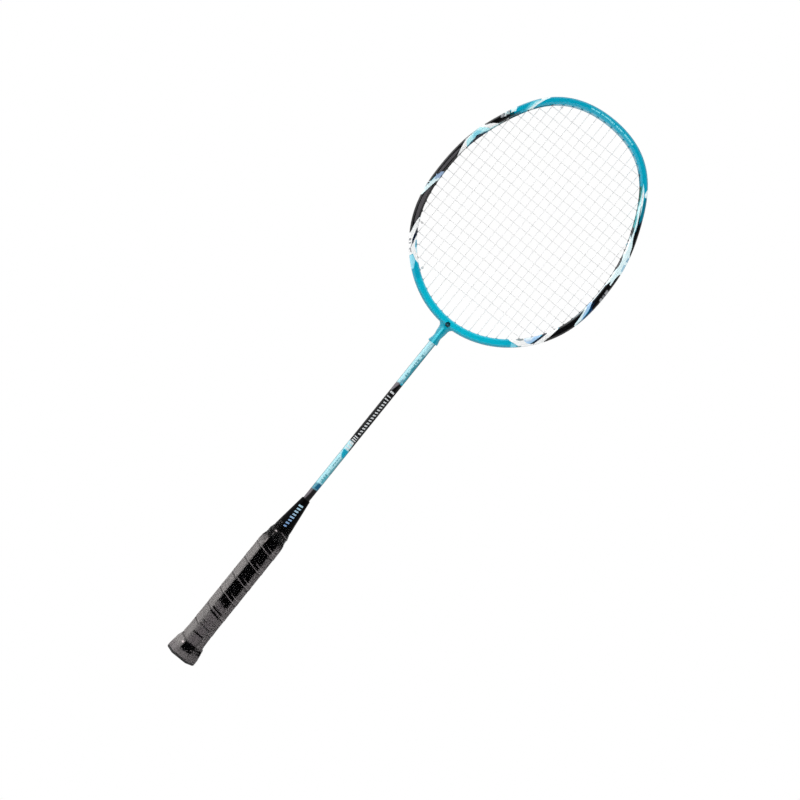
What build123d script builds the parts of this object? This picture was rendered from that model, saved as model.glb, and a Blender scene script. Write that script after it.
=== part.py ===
from build123d import *
import math
import os
from typing import NamedTuple

# Badminton racket, strung, with its factory grip still in its clear film.
# Millimetres. Origin: centre of the flat end face of the butt cap.
# +Z runs up the shaft to the crown of the head, +X across the head,
# and the string bed lies in the XZ plane, so its faces look along -Y and +Y.
# Angles round the head are in radians from the crown, positive towards +X.
# In the names, R is a radius, T a thickness and HX a half width across X.

# ---------------------------------------------------------------- dimensions
LENGTH = 675.0             # butt face to crown
FIT_GAP = 0.05             # gap left between pieces that fit together

# head hoop: radius of the outer outline about the head's centre, as a cosine
# series of the angle from the crown
OUTLINE = (116.83, -2.764, 13.969, 1.703, 0.231, -0.282, -0.244, -0.583, -0.225)
OUTLINE_POINTS = 40
HEAD_CENTRE_Z = LENGTH - sum(OUTLINE)
HOOP_DEPTH = 10.0          # across the string bed
HOOP_CROWN_WIDTH = 7.0     # in the plane of the bed
HOOP_THROAT_WIDTH = 8.0
HOOP_EDGE_R = 2.2
WALL_INNER = 0.9           # wall towards the strings
WALL_FACE = 0.9            # front and back walls
WALL_OUTER = 1.8           # wall under the string groove
WALL_OUTER_THROAT = 3.0
CAVITY_HALF_DEPTH = HOOP_DEPTH / 2 - WALL_FACE
CAVITY_EDGE_R = HOOP_EDGE_R - WALL_FACE
GROOVE_WIDTH = 3.6
GROOVE_DEPTH = 1.2
GROOVE_OVERCUT = 1.5       # how far the groove's cutter stands outside the hoop

# throat sleeve, shaft and T-joint
SHAFT_R = 3.6
SHAFT_BORE_R = 2.4
SHAFT_BOTTOM_Z = 76.0
SHAFT_STOP = 2.0           # the shaft ends this far below the hoop
SLEEVE_LENGTH = 21.0
# distance below the bottom of the hoop, radius across X, radius across Y
SLEEVE_STATIONS = (
    (SLEEVE_LENGTH, 3.95, 3.95), (15.0, 4.2, 4.15), (9.5, 4.65, 4.4), (4.0, 5.3, 4.55),
    (1.6, 6.2, 4.55), (0.2, 7.8, 4.45), (-1.0, 11.0, 4.2),
)
STEM_R = 2.3
STEM_LENGTH = 28.0         # part of the stem inside the shaft
T_ARM_REACH = 27.0         # half the T-joint's width across X
T_GAP = 0.1                # between the T-joint and the hoop
T_HOLE_GAP = 0.15          # extra radius of the string holes in the T-joint

# string bed
N_MAINS = 22
MAIN_PITCH = 8.32
N_CROSSES = 22
CROSS_PITCH = 9.395
LOWEST_CROSS_Z = 450.6
STRING_R = 0.34
LAYER = 0.36               # mains lie at -LAYER in Y, crosses at +LAYER
MOUTH = 1.0                # a string turns this far in front of the hoop's inner wall
LOOP_DEPTH = 0.44          # string centre line below the hoop's outer outline
BEND_R = 0.5               # smallest and largest bend of a string
MAX_BEND_R = 60.0
BEND_TRIM = 0.2            # length a bend of middling radius takes off each line
MIN_TURN = math.radians(0.05)
GROOVE_STEP = math.radians(3.0)
TAIL = 0.35                # how far a string's tail passes the end of the grommet

# knots
KNOT_R = 1.25
KNOT_HALF_LENGTH = 1.0
KNOT_SHIFT = 2.3           # knot centre from the crossing of string and hole axis
KNOT_EDGE_R = 0.6
MIN_TIE_ANGLE = math.radians(2.0)

# grommets and their holes
GROMMET_R = 1.15
GROMMET_BORE_R = 0.75
GROMMET_LIP = 0.5          # how far the barrel shows inside the hoop
FLANGE_R = 1.5
FLANGE_T = 0.35
HOLE_R = 1.2
FLANGE_GAP = 0.1
SEAT_DEPTH = GROOVE_DEPTH + 0.03
SHARE_BELOW = 3.35         # ends closer than this along the hoop share one hole
THROAT_EXIT_X = 7.6        # the two middle mains leave the hoop beside the sleeve
THROAT_SEAT_DEPTH = GROOVE_DEPTH + 0.65

# cone cap
CONE_BASE_Z = 145.6
CONE_BASE_R = 10.2
CONE_KNEE_Z = 162.0
CONE_KNEE_R = 8.7
CONE_TOP_Z = 195.3
CONE_TOP_R = 4.6

# handle; the half width across Y is smaller than HX by FLAT_Y
FLAT_Y = 1.0
CAP_FLOOR_Z = 3.0
CAP_SLEEVE_TOP_Z = 20.0
WOOD_HX = 10.5
WOOD_CORNER_R = 1.8
WOOD_BOTTOM_Z = CAP_FLOOR_Z + FIT_GAP
WOOD_TOP_Z = 145.5
SPIGOT_R = 8.5
SPIGOT_TOP_Z = 156.0
POCKET_R = 6.0
POCKET_TOP_Z = 60.0
ADHESIVE_T = 0.15
ADHESIVE_BOTTOM_Z = CAP_SLEEVE_TOP_Z + 0.6
ADHESIVE_TOP_Z = 144.0
GRIP_T = 1.45
GRIP_HX = 12.2
GRIP_TOP_Z = 153.0
RIM_HX = 16.1
RIM_Z = 2.4
DISC_R = 11.0
DISC_T = 0.9
DISC_RECESS = 0.2          # outer face of the disc above the butt face
DISC_EDGE_R = 0.3
FILM_T = 0.15
FILM_GAP = 0.07
FILM_TOP_Z = 165.0
TAPE_TOP_Z = 156.4
STAPLE_Z = 8.0
STAPLE_SPAN = 9.0
STAPLE_WIRE = 0.9
STAPLE_SINK = 0.55         # inner face of the bar below the grip's surface
STAPLE_BAR_T = 0.4
STAPLE_LEG = 4.1

os.makedirs("parts", exist_ok=True)


def save(builder, name):
    builder.part.label = name
    export_step(builder.part, f"parts/{name}.step")


def smooth(low, high, value):
    """0 below low, 1 above high, with a smooth rise between."""
    share = min(1.0, max(0.0, (value - low) / (high - low)))
    return share * share * (3 - 2 * share)


def solve(function, low, high):
    """Root of the function between low and high, by halving."""
    low_positive = function(low) > 0
    for _ in range(60):
        middle = (low + high) / 2
        if (function(middle) > 0) == low_positive:
            low = middle
        else:
            high = middle
    return (low + high) / 2


def step(point, direction, distance):
    """Point (x, z) moved by a distance along a direction."""
    return (point[0] + distance * direction[0], point[1] + distance * direction[1])


def unit(start, end):
    """Unit vector from start to end."""
    dx, dz = end[0] - start[0], end[1] - start[1]
    length = math.hypot(dx, dz)
    return (dx / length, dz / length)


# --------------------------------------------------------- shape of the hoop
def width(angle):
    """Width of the hoop in the plane of the bed."""
    share = ((1 - math.cos(angle)) / 2) ** 1.5
    return HOOP_CROWN_WIDTH + (HOOP_THROAT_WIDTH - HOOP_CROWN_WIDTH) * share


def outer_wall(angle):
    share = smooth(math.radians(150), math.radians(172), abs(angle))
    return WALL_OUTER + (WALL_OUTER_THROAT - WALL_OUTER) * share


def outline_frame(angle):
    """Point (x, z) of the outer outline, and the unit normal into the head."""
    sine, cosine = math.sin(angle), math.cos(angle)
    radius = sum(c * math.cos(j * angle) for j, c in enumerate(OUTLINE))
    slope = sum(-j * c * math.sin(j * angle) for j, c in enumerate(OUTLINE))
    dx = slope * sine + radius * cosine
    dz = slope * cosine - radius * sine
    length = math.hypot(dx, dz)
    return (radius * sine, HEAD_CENTRE_Z + radius * cosine), (dz / length, -dx / length)


def inside(angle, depth):
    """Point at a depth below the outer outline, along its normal."""
    return step(*outline_frame(angle), depth)


def outline(depth):
    """Closed outline at a depth: a number, or a function of the angle from the crown."""
    points = []
    for i in range(OUTLINE_POINTS):
        angle = 2 * math.pi * i / OUTLINE_POINTS
        local = depth(min(angle, 2 * math.pi - angle)) if callable(depth) else depth
        points.append(inside(angle, local))
    return points


THROAT_Z = outline_frame(math.pi)[0][1]     # lowest point of the hoop
SLEEVE_BOTTOM_Z = THROAT_Z - SLEEVE_LENGTH
SHAFT_TOP_Z = THROAT_Z - SHAFT_STOP

# ----------------------------------------------- string ends and their holes
MAIN_X = [(i - (N_MAINS - 1) / 2) * MAIN_PITCH for i in range(N_MAINS)]
CROSS_Z = [LOWEST_CROSS_Z + j * CROSS_PITCH for j in range(N_CROSSES)]
STRING_LINES = {"main": MAIN_X, "cross": CROSS_Z}


class StringEnd(NamedTuple):
    angle: float
    family: str            # "main" or "cross"
    index: int
    place: str             # "top", "bottom", "left" or "right"


class StringHole(NamedTuple):
    angle: float
    seat: tuple            # (x, z) where the flange rests
    inward: tuple          # unit vector along the axis, into the head
    barrel: float          # length of the grommet's barrel
    zone: str
    side: int              # 1 on the +X side, -1 on the -X side
    families: set          # string families that pass through


def mouth(angle):
    """Point in front of the inner wall where a string turns."""
    return inside(angle, width(angle) + MOUTH)


def right_ends():
    """Ends of the strings on the +X half, from the crown down."""
    widest = max((math.radians(a / 4) for a in range(200, 560)), key=lambda a: mouth(a)[0])
    ends = []
    for i, x in enumerate(MAIN_X):
        if x > 0:
            for place, low, high in (("top", 0.0, widest), ("bottom", widest, math.pi)):
                angle = solve(lambda a: mouth(a)[0] - x, low, high)
                ends.append(StringEnd(angle, "main", i, place))
    for j, z in enumerate(CROSS_Z):
        angle = solve(lambda a: mouth(a)[1] - z, 0.0, math.pi)
        ends.append(StringEnd(angle, "cross", j, "right"))
    return sorted(ends)


def group_ends(ends):
    """Neighbouring ends that would crowd each other are paired in one group."""
    groups = []
    for end in ends:
        if groups and len(groups[-1]) == 1:
            last = groups[-1][0]
            gap = math.dist(inside(last.angle, GROOVE_DEPTH), inside(end.angle, GROOVE_DEPTH))
            if gap < SHARE_BELOW and last.family != end.family:
                groups[-1].append(end)
                continue
        groups.append([end])
    return groups


def distance_to_string(point, direction, family, index):
    """Distance from a point, along a direction, to the line of a string."""
    axis = 0 if family == "main" else 1
    return (STRING_LINES[family][index] - point[axis]) / direction[axis]


def hole_angle(group):
    """Angle of the hole for one or two ends: the mouth of each stays clear of the wall."""
    if len(group) == 1:
        return group[0].angle

    def cost(angle):
        wall = inside(angle, width(angle))
        normal = outline_frame(angle)[1]
        clear = [distance_to_string(wall, normal, end.family, end.index) for end in group]
        return max(clear) + 50 * max(0.0, MOUTH - min(clear))

    middle = (group[0].angle + group[1].angle) / 2
    return min((middle + math.radians(k * 0.1) for k in range(-40, 41)), key=cost)


def place_hole(group):
    """Hole on the +X half for a group of ends."""
    angle = hole_angle(group)
    end = group[0]
    middle_main = end.family == "main" and MAIN_X[end.index] < MAIN_PITCH
    if len(group) == 1 and middle_main and end.place == "bottom":
        # the hole leans outwards to miss the sleeve
        zone = "throat"
        exit_angle = solve(lambda a: inside(a, THROAT_SEAT_DEPTH)[0] - THROAT_EXIT_X,
                           math.radians(160), math.pi)
        seat = inside(exit_angle, THROAT_SEAT_DEPTH)
        inward = unit(seat, mouth(angle))
    else:
        seat = inside(angle, SEAT_DEPTH)
        inward = outline_frame(angle)[1]
        if len(group) == 2:
            zone = "shared"
        else:
            zone = end.place if end.family == "main" else "side"
    # the barrel runs from the seat to just past the inner wall
    lip = inside(angle, width(angle) + GROMMET_LIP)
    barrel = (lip[0] - seat[0]) * inward[0] + (lip[1] - seat[1]) * inward[1]
    return StringHole(angle, seat, inward, barrel, zone, 1, {e.family for e in group})


def mirrored(hole):
    """The same hole on the -X half."""
    return hole._replace(angle=-hole.angle, seat=(-hole.seat[0], hole.seat[1]),
                         inward=(-hole.inward[0], hole.inward[1]), side=-1)


holes = []
end_hole = {}               # (family, index, place) -> hole
for group in group_ends(right_ends()):
    right_hole = place_hole(group)
    left_hole = mirrored(right_hole)
    holes += [right_hole, left_hole]
    for end in group:
        if end.family == "main":
            end_hole["main", end.index, end.place] = right_hole
            end_hole["main", N_MAINS - 1 - end.index, end.place] = left_hole
        else:
            end_hole["cross", end.index, "right"] = right_hole
            end_hole["cross", end.index, "left"] = left_hole


def tie_hole(start, family, toward):
    """Nearest hole on the same side that holds only the other family.
    toward is 1 to look towards the throat, -1 towards the crown."""
    def distance(hole):
        return (abs(hole.angle) - abs(start.angle)) * toward

    candidates = [hole for hole in holes
                  if hole.side == start.side and hole.zone != "throat"
                  and len(hole.families) == 1 and family not in hole.families
                  and distance(hole) > MIN_TIE_ANGLE]
    return min(candidates, key=distance)


# holes where the first and the last tail of each string are tied off
TIE_HOLES = {
    "main": (tie_hole(end_hole["main", 0, "bottom"], "main", 1),
             tie_hole(end_hole["main", N_MAINS - 1, "bottom"], "main", 1)),
    "cross": (tie_hole(end_hole["cross", 0, "left"], "cross", 1),
              tie_hole(end_hole["cross", N_CROSSES - 1, "left"], "cross", -1)),
}


# ----------------------------------------------------- routes of the strings
def string_crossing(hole, family, index):
    """Where the line of a string meets the hole's axis."""
    distance = distance_to_string(hole.seat, hole.inward, family, index)
    return step(hole.seat, hole.inward, distance)


def nearest_angle(point):
    """Angle of the point of the outer outline nearest to a point."""
    guess = math.atan2(point[0], point[1] - HEAD_CENTRE_Z)

    def off_normal(angle):
        (x, z), (nx, nz) = outline_frame(angle)
        return (point[0] - x) * nz - (point[1] - z) * nx

    return solve(off_normal, guess - 0.15, guess + 0.15)


def depth_of(point):
    (x, z), (nx, nz) = outline_frame(nearest_angle(point))
    return (point[0] - x) * nx + (point[1] - z) * nz


def groove_turn(hole):
    """Where the string turns into the groove, and the angle there."""
    distance = solve(lambda d: depth_of(step(hole.seat, hole.inward, -d)) - LOOP_DEPTH, -0.5, 3.0)
    point = step(hole.seat, hole.inward, -distance)
    return point, nearest_angle(point)


def groove_run(start_hole, end_hole):
    """Points of the string along the groove from one hole to another."""
    start, start_angle = groove_turn(start_hole)
    end, end_angle = groove_turn(end_hole)
    sweep_angle = end_angle - start_angle
    steps = max(1, int(abs(sweep_angle) / GROOVE_STEP))
    between = [inside(start_angle + sweep_angle * k / steps, LOOP_DEPTH) for k in range(1, steps)]
    return [start, *between, end]


def tail_end(hole):
    """End of a tail, just inside the hoop."""
    return step(hole.seat, hole.inward, hole.barrel + TAIL)


def string_route(family):
    """Vertices (x, z) of the centre line of one continuous string, tail to tail."""
    places = ("bottom", "top") if family == "main" else ("left", "right")
    count = len(STRING_LINES[family])
    first_tie, last_tie = TIE_HOLES[family]
    route = [tail_end(first_tie)]
    route += groove_run(first_tie, end_hole[family, 0, places[0]])
    for index in range(count):
        run = places if index % 2 == 0 else places[::-1]
        for place in run:
            route.append(string_crossing(end_hole[family, index, place], family, index))
        last = index + 1 == count
        next_hole = last_tie if last else end_hole[family, index + 1, run[1]]
        route += groove_run(end_hole[family, index, run[1]], next_hole)
    route.append(tail_end(last_tie))
    return route


def bent_line(points):
    """Lines through the points, joined by tangent arcs. Call it in a BuildLine."""
    start = points[0]
    for before, corner, after in zip(points, points[1:], points[2:]):
        incoming, outgoing = unit(before, corner), unit(corner, after)
        dot = incoming[0] * outgoing[0] + incoming[1] * outgoing[1]
        turn = math.acos(max(-1.0, min(1.0, dot)))
        if turn < MIN_TURN:
            continue
        half_tangent = math.tan(turn / 2)
        radius = max(BEND_R, min(MAX_BEND_R, BEND_TRIM / half_tangent))
        trim = radius * half_tangent
        arc_start = step(corner, incoming, -trim)
        arc_end = step(corner, outgoing, trim)
        arc_middle = step(corner, unit(incoming, outgoing), radius / math.cos(turn / 2) - radius)
        Line(start, arc_start)
        ThreePointArc(arc_start, arc_middle, arc_end)
        start = arc_end
    Line(start, points[-1])


# ------------------------------------------------------------ shared shapes
def hole_location(hole):
    """Location at the hole's seat, local Z along its axis and outwards."""
    (x, z), (nx, nz) = hole.seat, hole.inward
    return Plane(origin=(x, 0, z), x_dir=(0, 1, 0), z_dir=(-nx, 0, -nz)).location


def hoop_ring(half_depth, outer, inner):
    """Ring between two closed outlines, at y = half_depth and facing -Y."""
    with BuildSketch(Plane.XZ.offset(-half_depth)) as ring:
        with BuildLine():
            Spline(*outer, periodic=True)
        make_face()
        with BuildLine():
            Spline(*inner, periodic=True)
        make_face(mode=Mode.SUBTRACT)
    return ring.sketch


def cylinder_between(bottom_z, top_z, radius, mode=Mode.ADD):
    """Cylinder on the Z axis. Call it in a BuildPart."""
    with BuildSketch(Plane.XY.offset(bottom_z)) as disc:
        Circle(radius)
    extrude(disc.sketch, amount=top_z - bottom_z, mode=mode)


def octagon(z, hx, corner=2.2, flat=FLAT_Y):
    """Eight-sided handle section with rounded corners; flat is the X minus Y half width."""
    hy = hx - flat
    share = (1 - flat / FLAT_Y) * 0.12       # a round section has equal sides
    side_x = hx * (0.53 - share)
    side_y = hx * (0.50 - share * 0.75)
    with BuildSketch(Plane.XY.offset(z)) as outer:
        Polygon((side_x, hy), (-side_x, hy), (-hx, side_y), (-hx, -side_y),
                (-side_x, -hy), (side_x, -hy), (hx, -side_y), (hx, side_y), align=None)
        fillet(outer.vertices(), corner)
    return outer.sketch


def wood_prism(bottom_z, top_z, hx, mode=Mode.ADD):
    """Straight prism with the wood's corners. Call it in a BuildPart."""
    extrude(octagon(bottom_z, hx, WOOD_CORNER_R), amount=top_z - bottom_z, mode=mode)


# ------------------------------------------------------------- 1 head frame
with BuildPart() as cavity_cutter:
    extrude(hoop_ring(CAVITY_HALF_DEPTH, outline(outer_wall),
                      outline(lambda a: width(a) - WALL_INNER)),
            amount=2 * CAVITY_HALF_DEPTH)
    fillet(cavity_cutter.faces().filter_by(Axis.Y).edges(), CAVITY_EDGE_R)

with BuildPart() as groove_cutter:
    extrude(hoop_ring(GROOVE_WIDTH / 2, outline(-GROOVE_OVERCUT), outline(GROOVE_DEPTH)),
            amount=GROOVE_WIDTH)
    # no groove at the sleeve
    with Locations((0, 0, THROAT_Z)):
        Box(2 * (THROAT_EXIT_X - 0.6), 20, 12, mode=Mode.SUBTRACT)

with BuildPart() as head_frame:
    extrude(hoop_ring(HOOP_DEPTH / 2, outline(0.0), outline(width)), amount=HOOP_DEPTH)
    fillet(head_frame.faces().filter_by(Axis.Y).edges(), HOOP_EDGE_R)
    # sleeve that flares from the shaft into the hoop
    for below, radius_x, radius_y in SLEEVE_STATIONS:
        with BuildSketch(Plane.XY.offset(THROAT_Z - below)):
            Ellipse(radius_x, radius_y)
    loft()
    # hollow inside, socket for the shaft, passage for the T-joint's stem
    add(cavity_cutter.part, mode=Mode.SUBTRACT)
    cylinder_between(SLEEVE_BOTTOM_Z - 1, SHAFT_TOP_Z + FIT_GAP, SHAFT_R + FIT_GAP, Mode.SUBTRACT)
    cylinder_between(SHAFT_TOP_Z - 1, THROAT_Z + WALL_OUTER_THROAT + 0.5, STEM_R + T_GAP,
                     Mode.SUBTRACT)
    add(groove_cutter.part, mode=Mode.SUBTRACT)
    # grommet holes through both walls, each with a flat seat for its flange
    with Locations(*[hole_location(hole) for hole in holes]):
        Cylinder(HOLE_R, 20, mode=Mode.SUBTRACT)
        Cylinder(FLANGE_R + FLANGE_GAP, 3, align=(Align.CENTER, Align.CENTER, Align.MIN),
                 mode=Mode.SUBTRACT)
save(head_frame, "head_frame")

# ---------------------------------------------------------------- 2 T-joint
with BuildPart() as t_joint:
    t_half_depth = CAVITY_HALF_DEPTH - T_GAP
    extrude(hoop_ring(t_half_depth, outline(lambda a: outer_wall(a) + T_GAP),
                      outline(lambda a: width(a) - WALL_INNER - T_GAP)),
            amount=2 * t_half_depth)
    fillet(t_joint.faces().filter_by(Axis.Y).edges(), CAVITY_EDGE_R)
    with Locations((0, 0, THROAT_Z)):
        Box(2 * T_ARM_REACH, 40, 40, mode=Mode.INTERSECT)
    # stem down through the hoop's outer wall into the shaft
    cylinder_between(SHAFT_TOP_Z - STEM_LENGTH, THROAT_Z + WALL_OUTER_THROAT + 1.5, STEM_R)
    for hole in holes:
        if abs(hole.seat[0]) < T_ARM_REACH + 4 and hole.seat[1] < HEAD_CENTRE_Z:
            with Locations(hole_location(hole)):
                Cylinder(HOLE_R + T_HOLE_GAP, 24, mode=Mode.SUBTRACT)
save(t_joint, "t_joint")

# ------------------------------------------------------------------ 3 shaft
with BuildPart() as shaft:
    with BuildSketch(Plane.XY.offset(SHAFT_BOTTOM_Z)):
        Circle(SHAFT_R)
        Circle(SHAFT_BORE_R, mode=Mode.SUBTRACT)
    extrude(amount=SHAFT_TOP_Z - SHAFT_BOTTOM_Z)
save(shaft, "shaft")

# --------------------------------------------------------------- 4 cone cap
with BuildPart() as cone_cap:
    shaft_hole_r = SHAFT_R + FIT_GAP
    spigot_hole_r = SPIGOT_R + FIT_GAP
    spigot_hole_z = SPIGOT_TOP_Z + 0.1
    with BuildSketch(Plane.XZ):
        with BuildLine():
            Polyline((spigot_hole_r, CONE_BASE_Z), (CONE_BASE_R, CONE_BASE_Z),
                     (CONE_KNEE_R, CONE_KNEE_Z), (CONE_TOP_R, CONE_TOP_Z - 0.5),
                     (CONE_TOP_R - 0.4, CONE_TOP_Z), (shaft_hole_r, CONE_TOP_Z),
                     (shaft_hole_r, spigot_hole_z), (spigot_hole_r, spigot_hole_z), close=True)
        make_face()
    revolve(axis=Axis.Z)
save(cone_cap, "cone_cap")


def cone_r(z):
    """Outer radius of the cone cap below its knee."""
    share = (z - CONE_BASE_Z) / (CONE_KNEE_Z - CONE_BASE_Z)
    return CONE_BASE_R + (CONE_KNEE_R - CONE_BASE_R) * share


# ----------------------------------------------------- outside of the grip
# height, half width across X, corner radius, X minus Y half width
GRIP_PROFILE = (
    (2.6, 16.0, 3.0, 1.0), (4.0, 15.75, 3.0, 1.0), (6.7, 15.25, 3.0, 1.0),
    (9.7, 14.95, 3.0, 1.0), (12.7, 14.4, 2.8, 1.0), (14.2, 13.85, 2.6, 1.0),
    (15.7, 13.2, 2.4, 1.0), (17.2, 12.75, 2.3, 1.0), (18.7, 12.5, 2.2, 1.0),
    (25.0, 12.35, 2.2, 1.0), (31.0, GRIP_HX, 2.2, 1.0), (138.0, GRIP_HX, 2.2, 1.0),
    (141.7, 11.95, 2.6, 0.9), (143.7, 11.7, 3.4, 0.75), (145.7, 11.05, 5.5, 0.4),
    (147.0, 10.55, 9.6, 0.0), (150.0, 10.4, 9.7, 0.0), (GRIP_TOP_Z, 10.3, 9.7, 0.0),
)
FLARE_PROFILE = GRIP_PROFILE[:9]        # the part round the butt cap's sleeve


def grip_hx(z):
    """Half width of the grip across X at a height."""
    for (low_z, low_hx, *_), (high_z, high_hx, *_) in zip(GRIP_PROFILE, GRIP_PROFILE[1:]):
        if low_z <= z <= high_z:
            return low_hx + (high_hx - low_hx) * (z - low_z) / (high_z - low_z)


def flare_sections(bottom_z, inset, top_z, top_hx):
    """Sections of the flare, inset from the grip's outside, from bottom_z to top_z."""
    heights = [bottom_z] + [row[0] for row in FLARE_PROFILE[1:]]
    sections = [octagon(z, hx - inset, corner - 0.8, flat)
                for z, (_, hx, corner, flat) in zip(heights, FLARE_PROFILE)]
    return sections + [octagon(top_z, top_hx, 1.6)]


STAPLE_GRIP_Y = grip_hx(STAPLE_Z) - FLAT_Y      # grip's surface at the staple
STAPLE_INNER_Y = STAPLE_GRIP_Y - STAPLE_SINK    # inner face of the staple's bar
STAPLE_LEG_X = (STAPLE_SPAN - STAPLE_WIRE) / 2


def staple_slots():
    """Room for the staple in the pieces it holds. Call it in a BuildPart."""
    wire = STAPLE_WIRE + 2 * FIT_GAP
    with Locations((0, STAPLE_INNER_Y + 1.5, STAPLE_Z)):
        Box(STAPLE_SPAN + 2 * FIT_GAP, 3.0 + 2 * FIT_GAP, wire, mode=Mode.SUBTRACT)
    with Locations(*[(x, STAPLE_GRIP_Y - 2, STAPLE_Z) for x in (STAPLE_LEG_X, -STAPLE_LEG_X)]):
        Box(wire, 5.2, wire, mode=Mode.SUBTRACT)


# ------------------------------------------------------------ 5 handle core
with BuildPart() as handle_core:
    wood_prism(WOOD_BOTTOM_Z, WOOD_TOP_Z, WOOD_HX)
    cylinder_between(WOOD_TOP_Z, SPIGOT_TOP_Z, SPIGOT_R)
    chamfer(handle_core.faces().sort_by(Axis.Z)[-1].outer_wire().edges(), 0.4)
    # shaft bore from above, pocket from below
    cylinder_between(SHAFT_BOTTOM_Z - 1, SPIGOT_TOP_Z + 1, SHAFT_R + FIT_GAP, Mode.SUBTRACT)
    cylinder_between(WOOD_BOTTOM_Z - 1, POCKET_TOP_Z, POCKET_R, Mode.SUBTRACT)
save(handle_core, "handle_core")

# --------------------------------------------------------------- 6 butt cap
with BuildPart() as butt_cap:
    # rim, then the sleeve under the grip
    loft([octagon(0, RIM_HX - 0.7, 2.6), octagon(0.8, RIM_HX, 3.0), octagon(RIM_Z, RIM_HX, 3.0)],
         ruled=True)
    loft(flare_sections(RIM_Z - 0.05, GRIP_T + FIT_GAP, CAP_SLEEVE_TOP_Z, 10.95), ruled=True)
    # room for the wood and the disc
    wood_prism(CAP_FLOOR_Z, CAP_FLOOR_Z + CAP_SLEEVE_TOP_Z, WOOD_HX + FIT_GAP, Mode.SUBTRACT)
    cylinder_between(0, DISC_RECESS + DISC_T + FIT_GAP, DISC_R + FIT_GAP, Mode.SUBTRACT)
    staple_slots()
save(butt_cap, "butt_cap")

# -------------------------------------------------------------- 7 butt disc
with BuildPart() as butt_disc:
    cylinder_between(DISC_RECESS, DISC_RECESS + DISC_T, DISC_R)
    fillet(butt_disc.faces().sort_by(Axis.Z)[0].edges(), DISC_EDGE_R)
save(butt_disc, "butt_disc")

# ----------------------------------------------- 8 adhesive layer under grip
with BuildPart() as grip_adhesive:
    wood_prism(ADHESIVE_BOTTOM_Z, ADHESIVE_TOP_Z, WOOD_HX + FIT_GAP + ADHESIVE_T)
    wood_prism(CAP_SLEEVE_TOP_Z, CAP_SLEEVE_TOP_Z + 130, WOOD_HX + FIT_GAP, Mode.SUBTRACT)
save(grip_adhesive, "grip_adhesive")

# -------------------------------------------------------------- 9 base grip
with BuildPart() as base_grip:
    loft([octagon(*row) for row in GRIP_PROFILE], ruled=True)
    # room for the butt cap's sleeve, the wood and its adhesive, and the cone
    loft(flare_sections(RIM_Z, GRIP_T, CAP_SLEEVE_TOP_Z + 0.1, 11.0), ruled=True,
         mode=Mode.SUBTRACT)
    wood_prism(CAP_SLEEVE_TOP_Z, CONE_BASE_Z - 0.05, WOOD_HX + 2 * FIT_GAP + ADHESIVE_T,
               Mode.SUBTRACT)
    with BuildSketch(Plane.XZ):
        with BuildLine():
            Polyline((0, CONE_BASE_Z - 0.1), (CONE_BASE_R + FIT_GAP, CONE_BASE_Z - 0.1),
                     (CONE_BASE_R + FIT_GAP, CONE_BASE_Z),
                     (cone_r(SPIGOT_TOP_Z) + FIT_GAP, SPIGOT_TOP_Z), (0, SPIGOT_TOP_Z), close=True)
        make_face()
    revolve(axis=Axis.Z, mode=Mode.SUBTRACT)
    staple_slots()
save(base_grip, "base_grip")

# -------------------------------------------------------- 10 finishing tape
# section (radius, z): up the outside, then down the inside along cone and grip
TAPE_SECTION = (
    (10.62, 147.2), (10.84, 147.2), (10.66, 150.0), (10.56, 153.1),
    (cone_r(154.2) + 0.75, 154.2), (cone_r(TAPE_TOP_Z) + 0.25, TAPE_TOP_Z),
    (cone_r(TAPE_TOP_Z) + 0.05, TAPE_TOP_Z), (cone_r(154.0) + 0.06, 154.0),
    (cone_r(153.2) + 0.06, 153.2), (10.42, 153.1), (10.5, 150.0),
)
with BuildPart() as finishing_tape:
    with BuildSketch(Plane.XZ):
        with BuildLine():
            Polyline(*TAPE_SECTION, close=True)
        make_face()
    revolve(axis=Axis.Z)
save(finishing_tape, "finishing_tape")

# ------------------------------------------------------------- 11 grip film
# inside of the film, same columns as GRIP_PROFILE: it follows the grip, then the tape and cone
FILM_PROFILE = tuple((z, hx + FILM_GAP, corner, flat)
                     for z, hx, corner, flat in GRIP_PROFILE[:-3]) + (
    (147.0, 10.95, 10.0, 0.0), (150.0, 10.85, 9.9, 0.0), (153.4, 10.75, 9.8, 0.0),
    (TAPE_TOP_Z, 10.2, 9.2, 0.0), (159.5, 9.35, 8.4, 0.0), (FILM_TOP_Z, 8.75, 7.8, 0.0),
)
with BuildPart() as grip_film:
    loft([octagon(z, hx + FILM_T, corner, flat) for z, hx, corner, flat in FILM_PROFILE],
         ruled=True)
    loft([octagon(z, hx, corner - 0.1, flat) for z, hx, corner, flat in FILM_PROFILE],
         ruled=True, mode=Mode.SUBTRACT)
save(grip_film, "grip_film")

# ----------------------------------------------------------- 12 grip staple
with BuildPart() as grip_staple:
    leg_y = STAPLE_INNER_Y + STAPLE_BAR_T - STAPLE_LEG / 2
    with Locations((0, STAPLE_INNER_Y + STAPLE_BAR_T / 2, STAPLE_Z)):
        Box(STAPLE_SPAN, STAPLE_BAR_T, STAPLE_WIRE)
    with Locations((STAPLE_LEG_X, leg_y, STAPLE_Z), (-STAPLE_LEG_X, leg_y, STAPLE_Z)):
        Box(STAPLE_WIRE, STAPLE_LEG, STAPLE_WIRE)
save(grip_staple, "grip_staple")


# ------------------------------------------------------ 13, 14 the two strings
def build_string(family, y, name):
    plane = Plane(origin=(0, y, 0), x_dir=(1, 0, 0), z_dir=(0, -1, 0))
    with BuildPart() as string:
        with BuildLine(plane) as route:
            bent_line(string_route(family))
        with BuildSketch(Plane(origin=route.wire() @ 0, z_dir=route.wire() % 0)):
            Circle(STRING_R)
        sweep(path=route.wire())
    save(string, name)


build_string("main", -LAYER, "main_string")
build_string("cross", LAYER, "cross_string")


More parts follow.
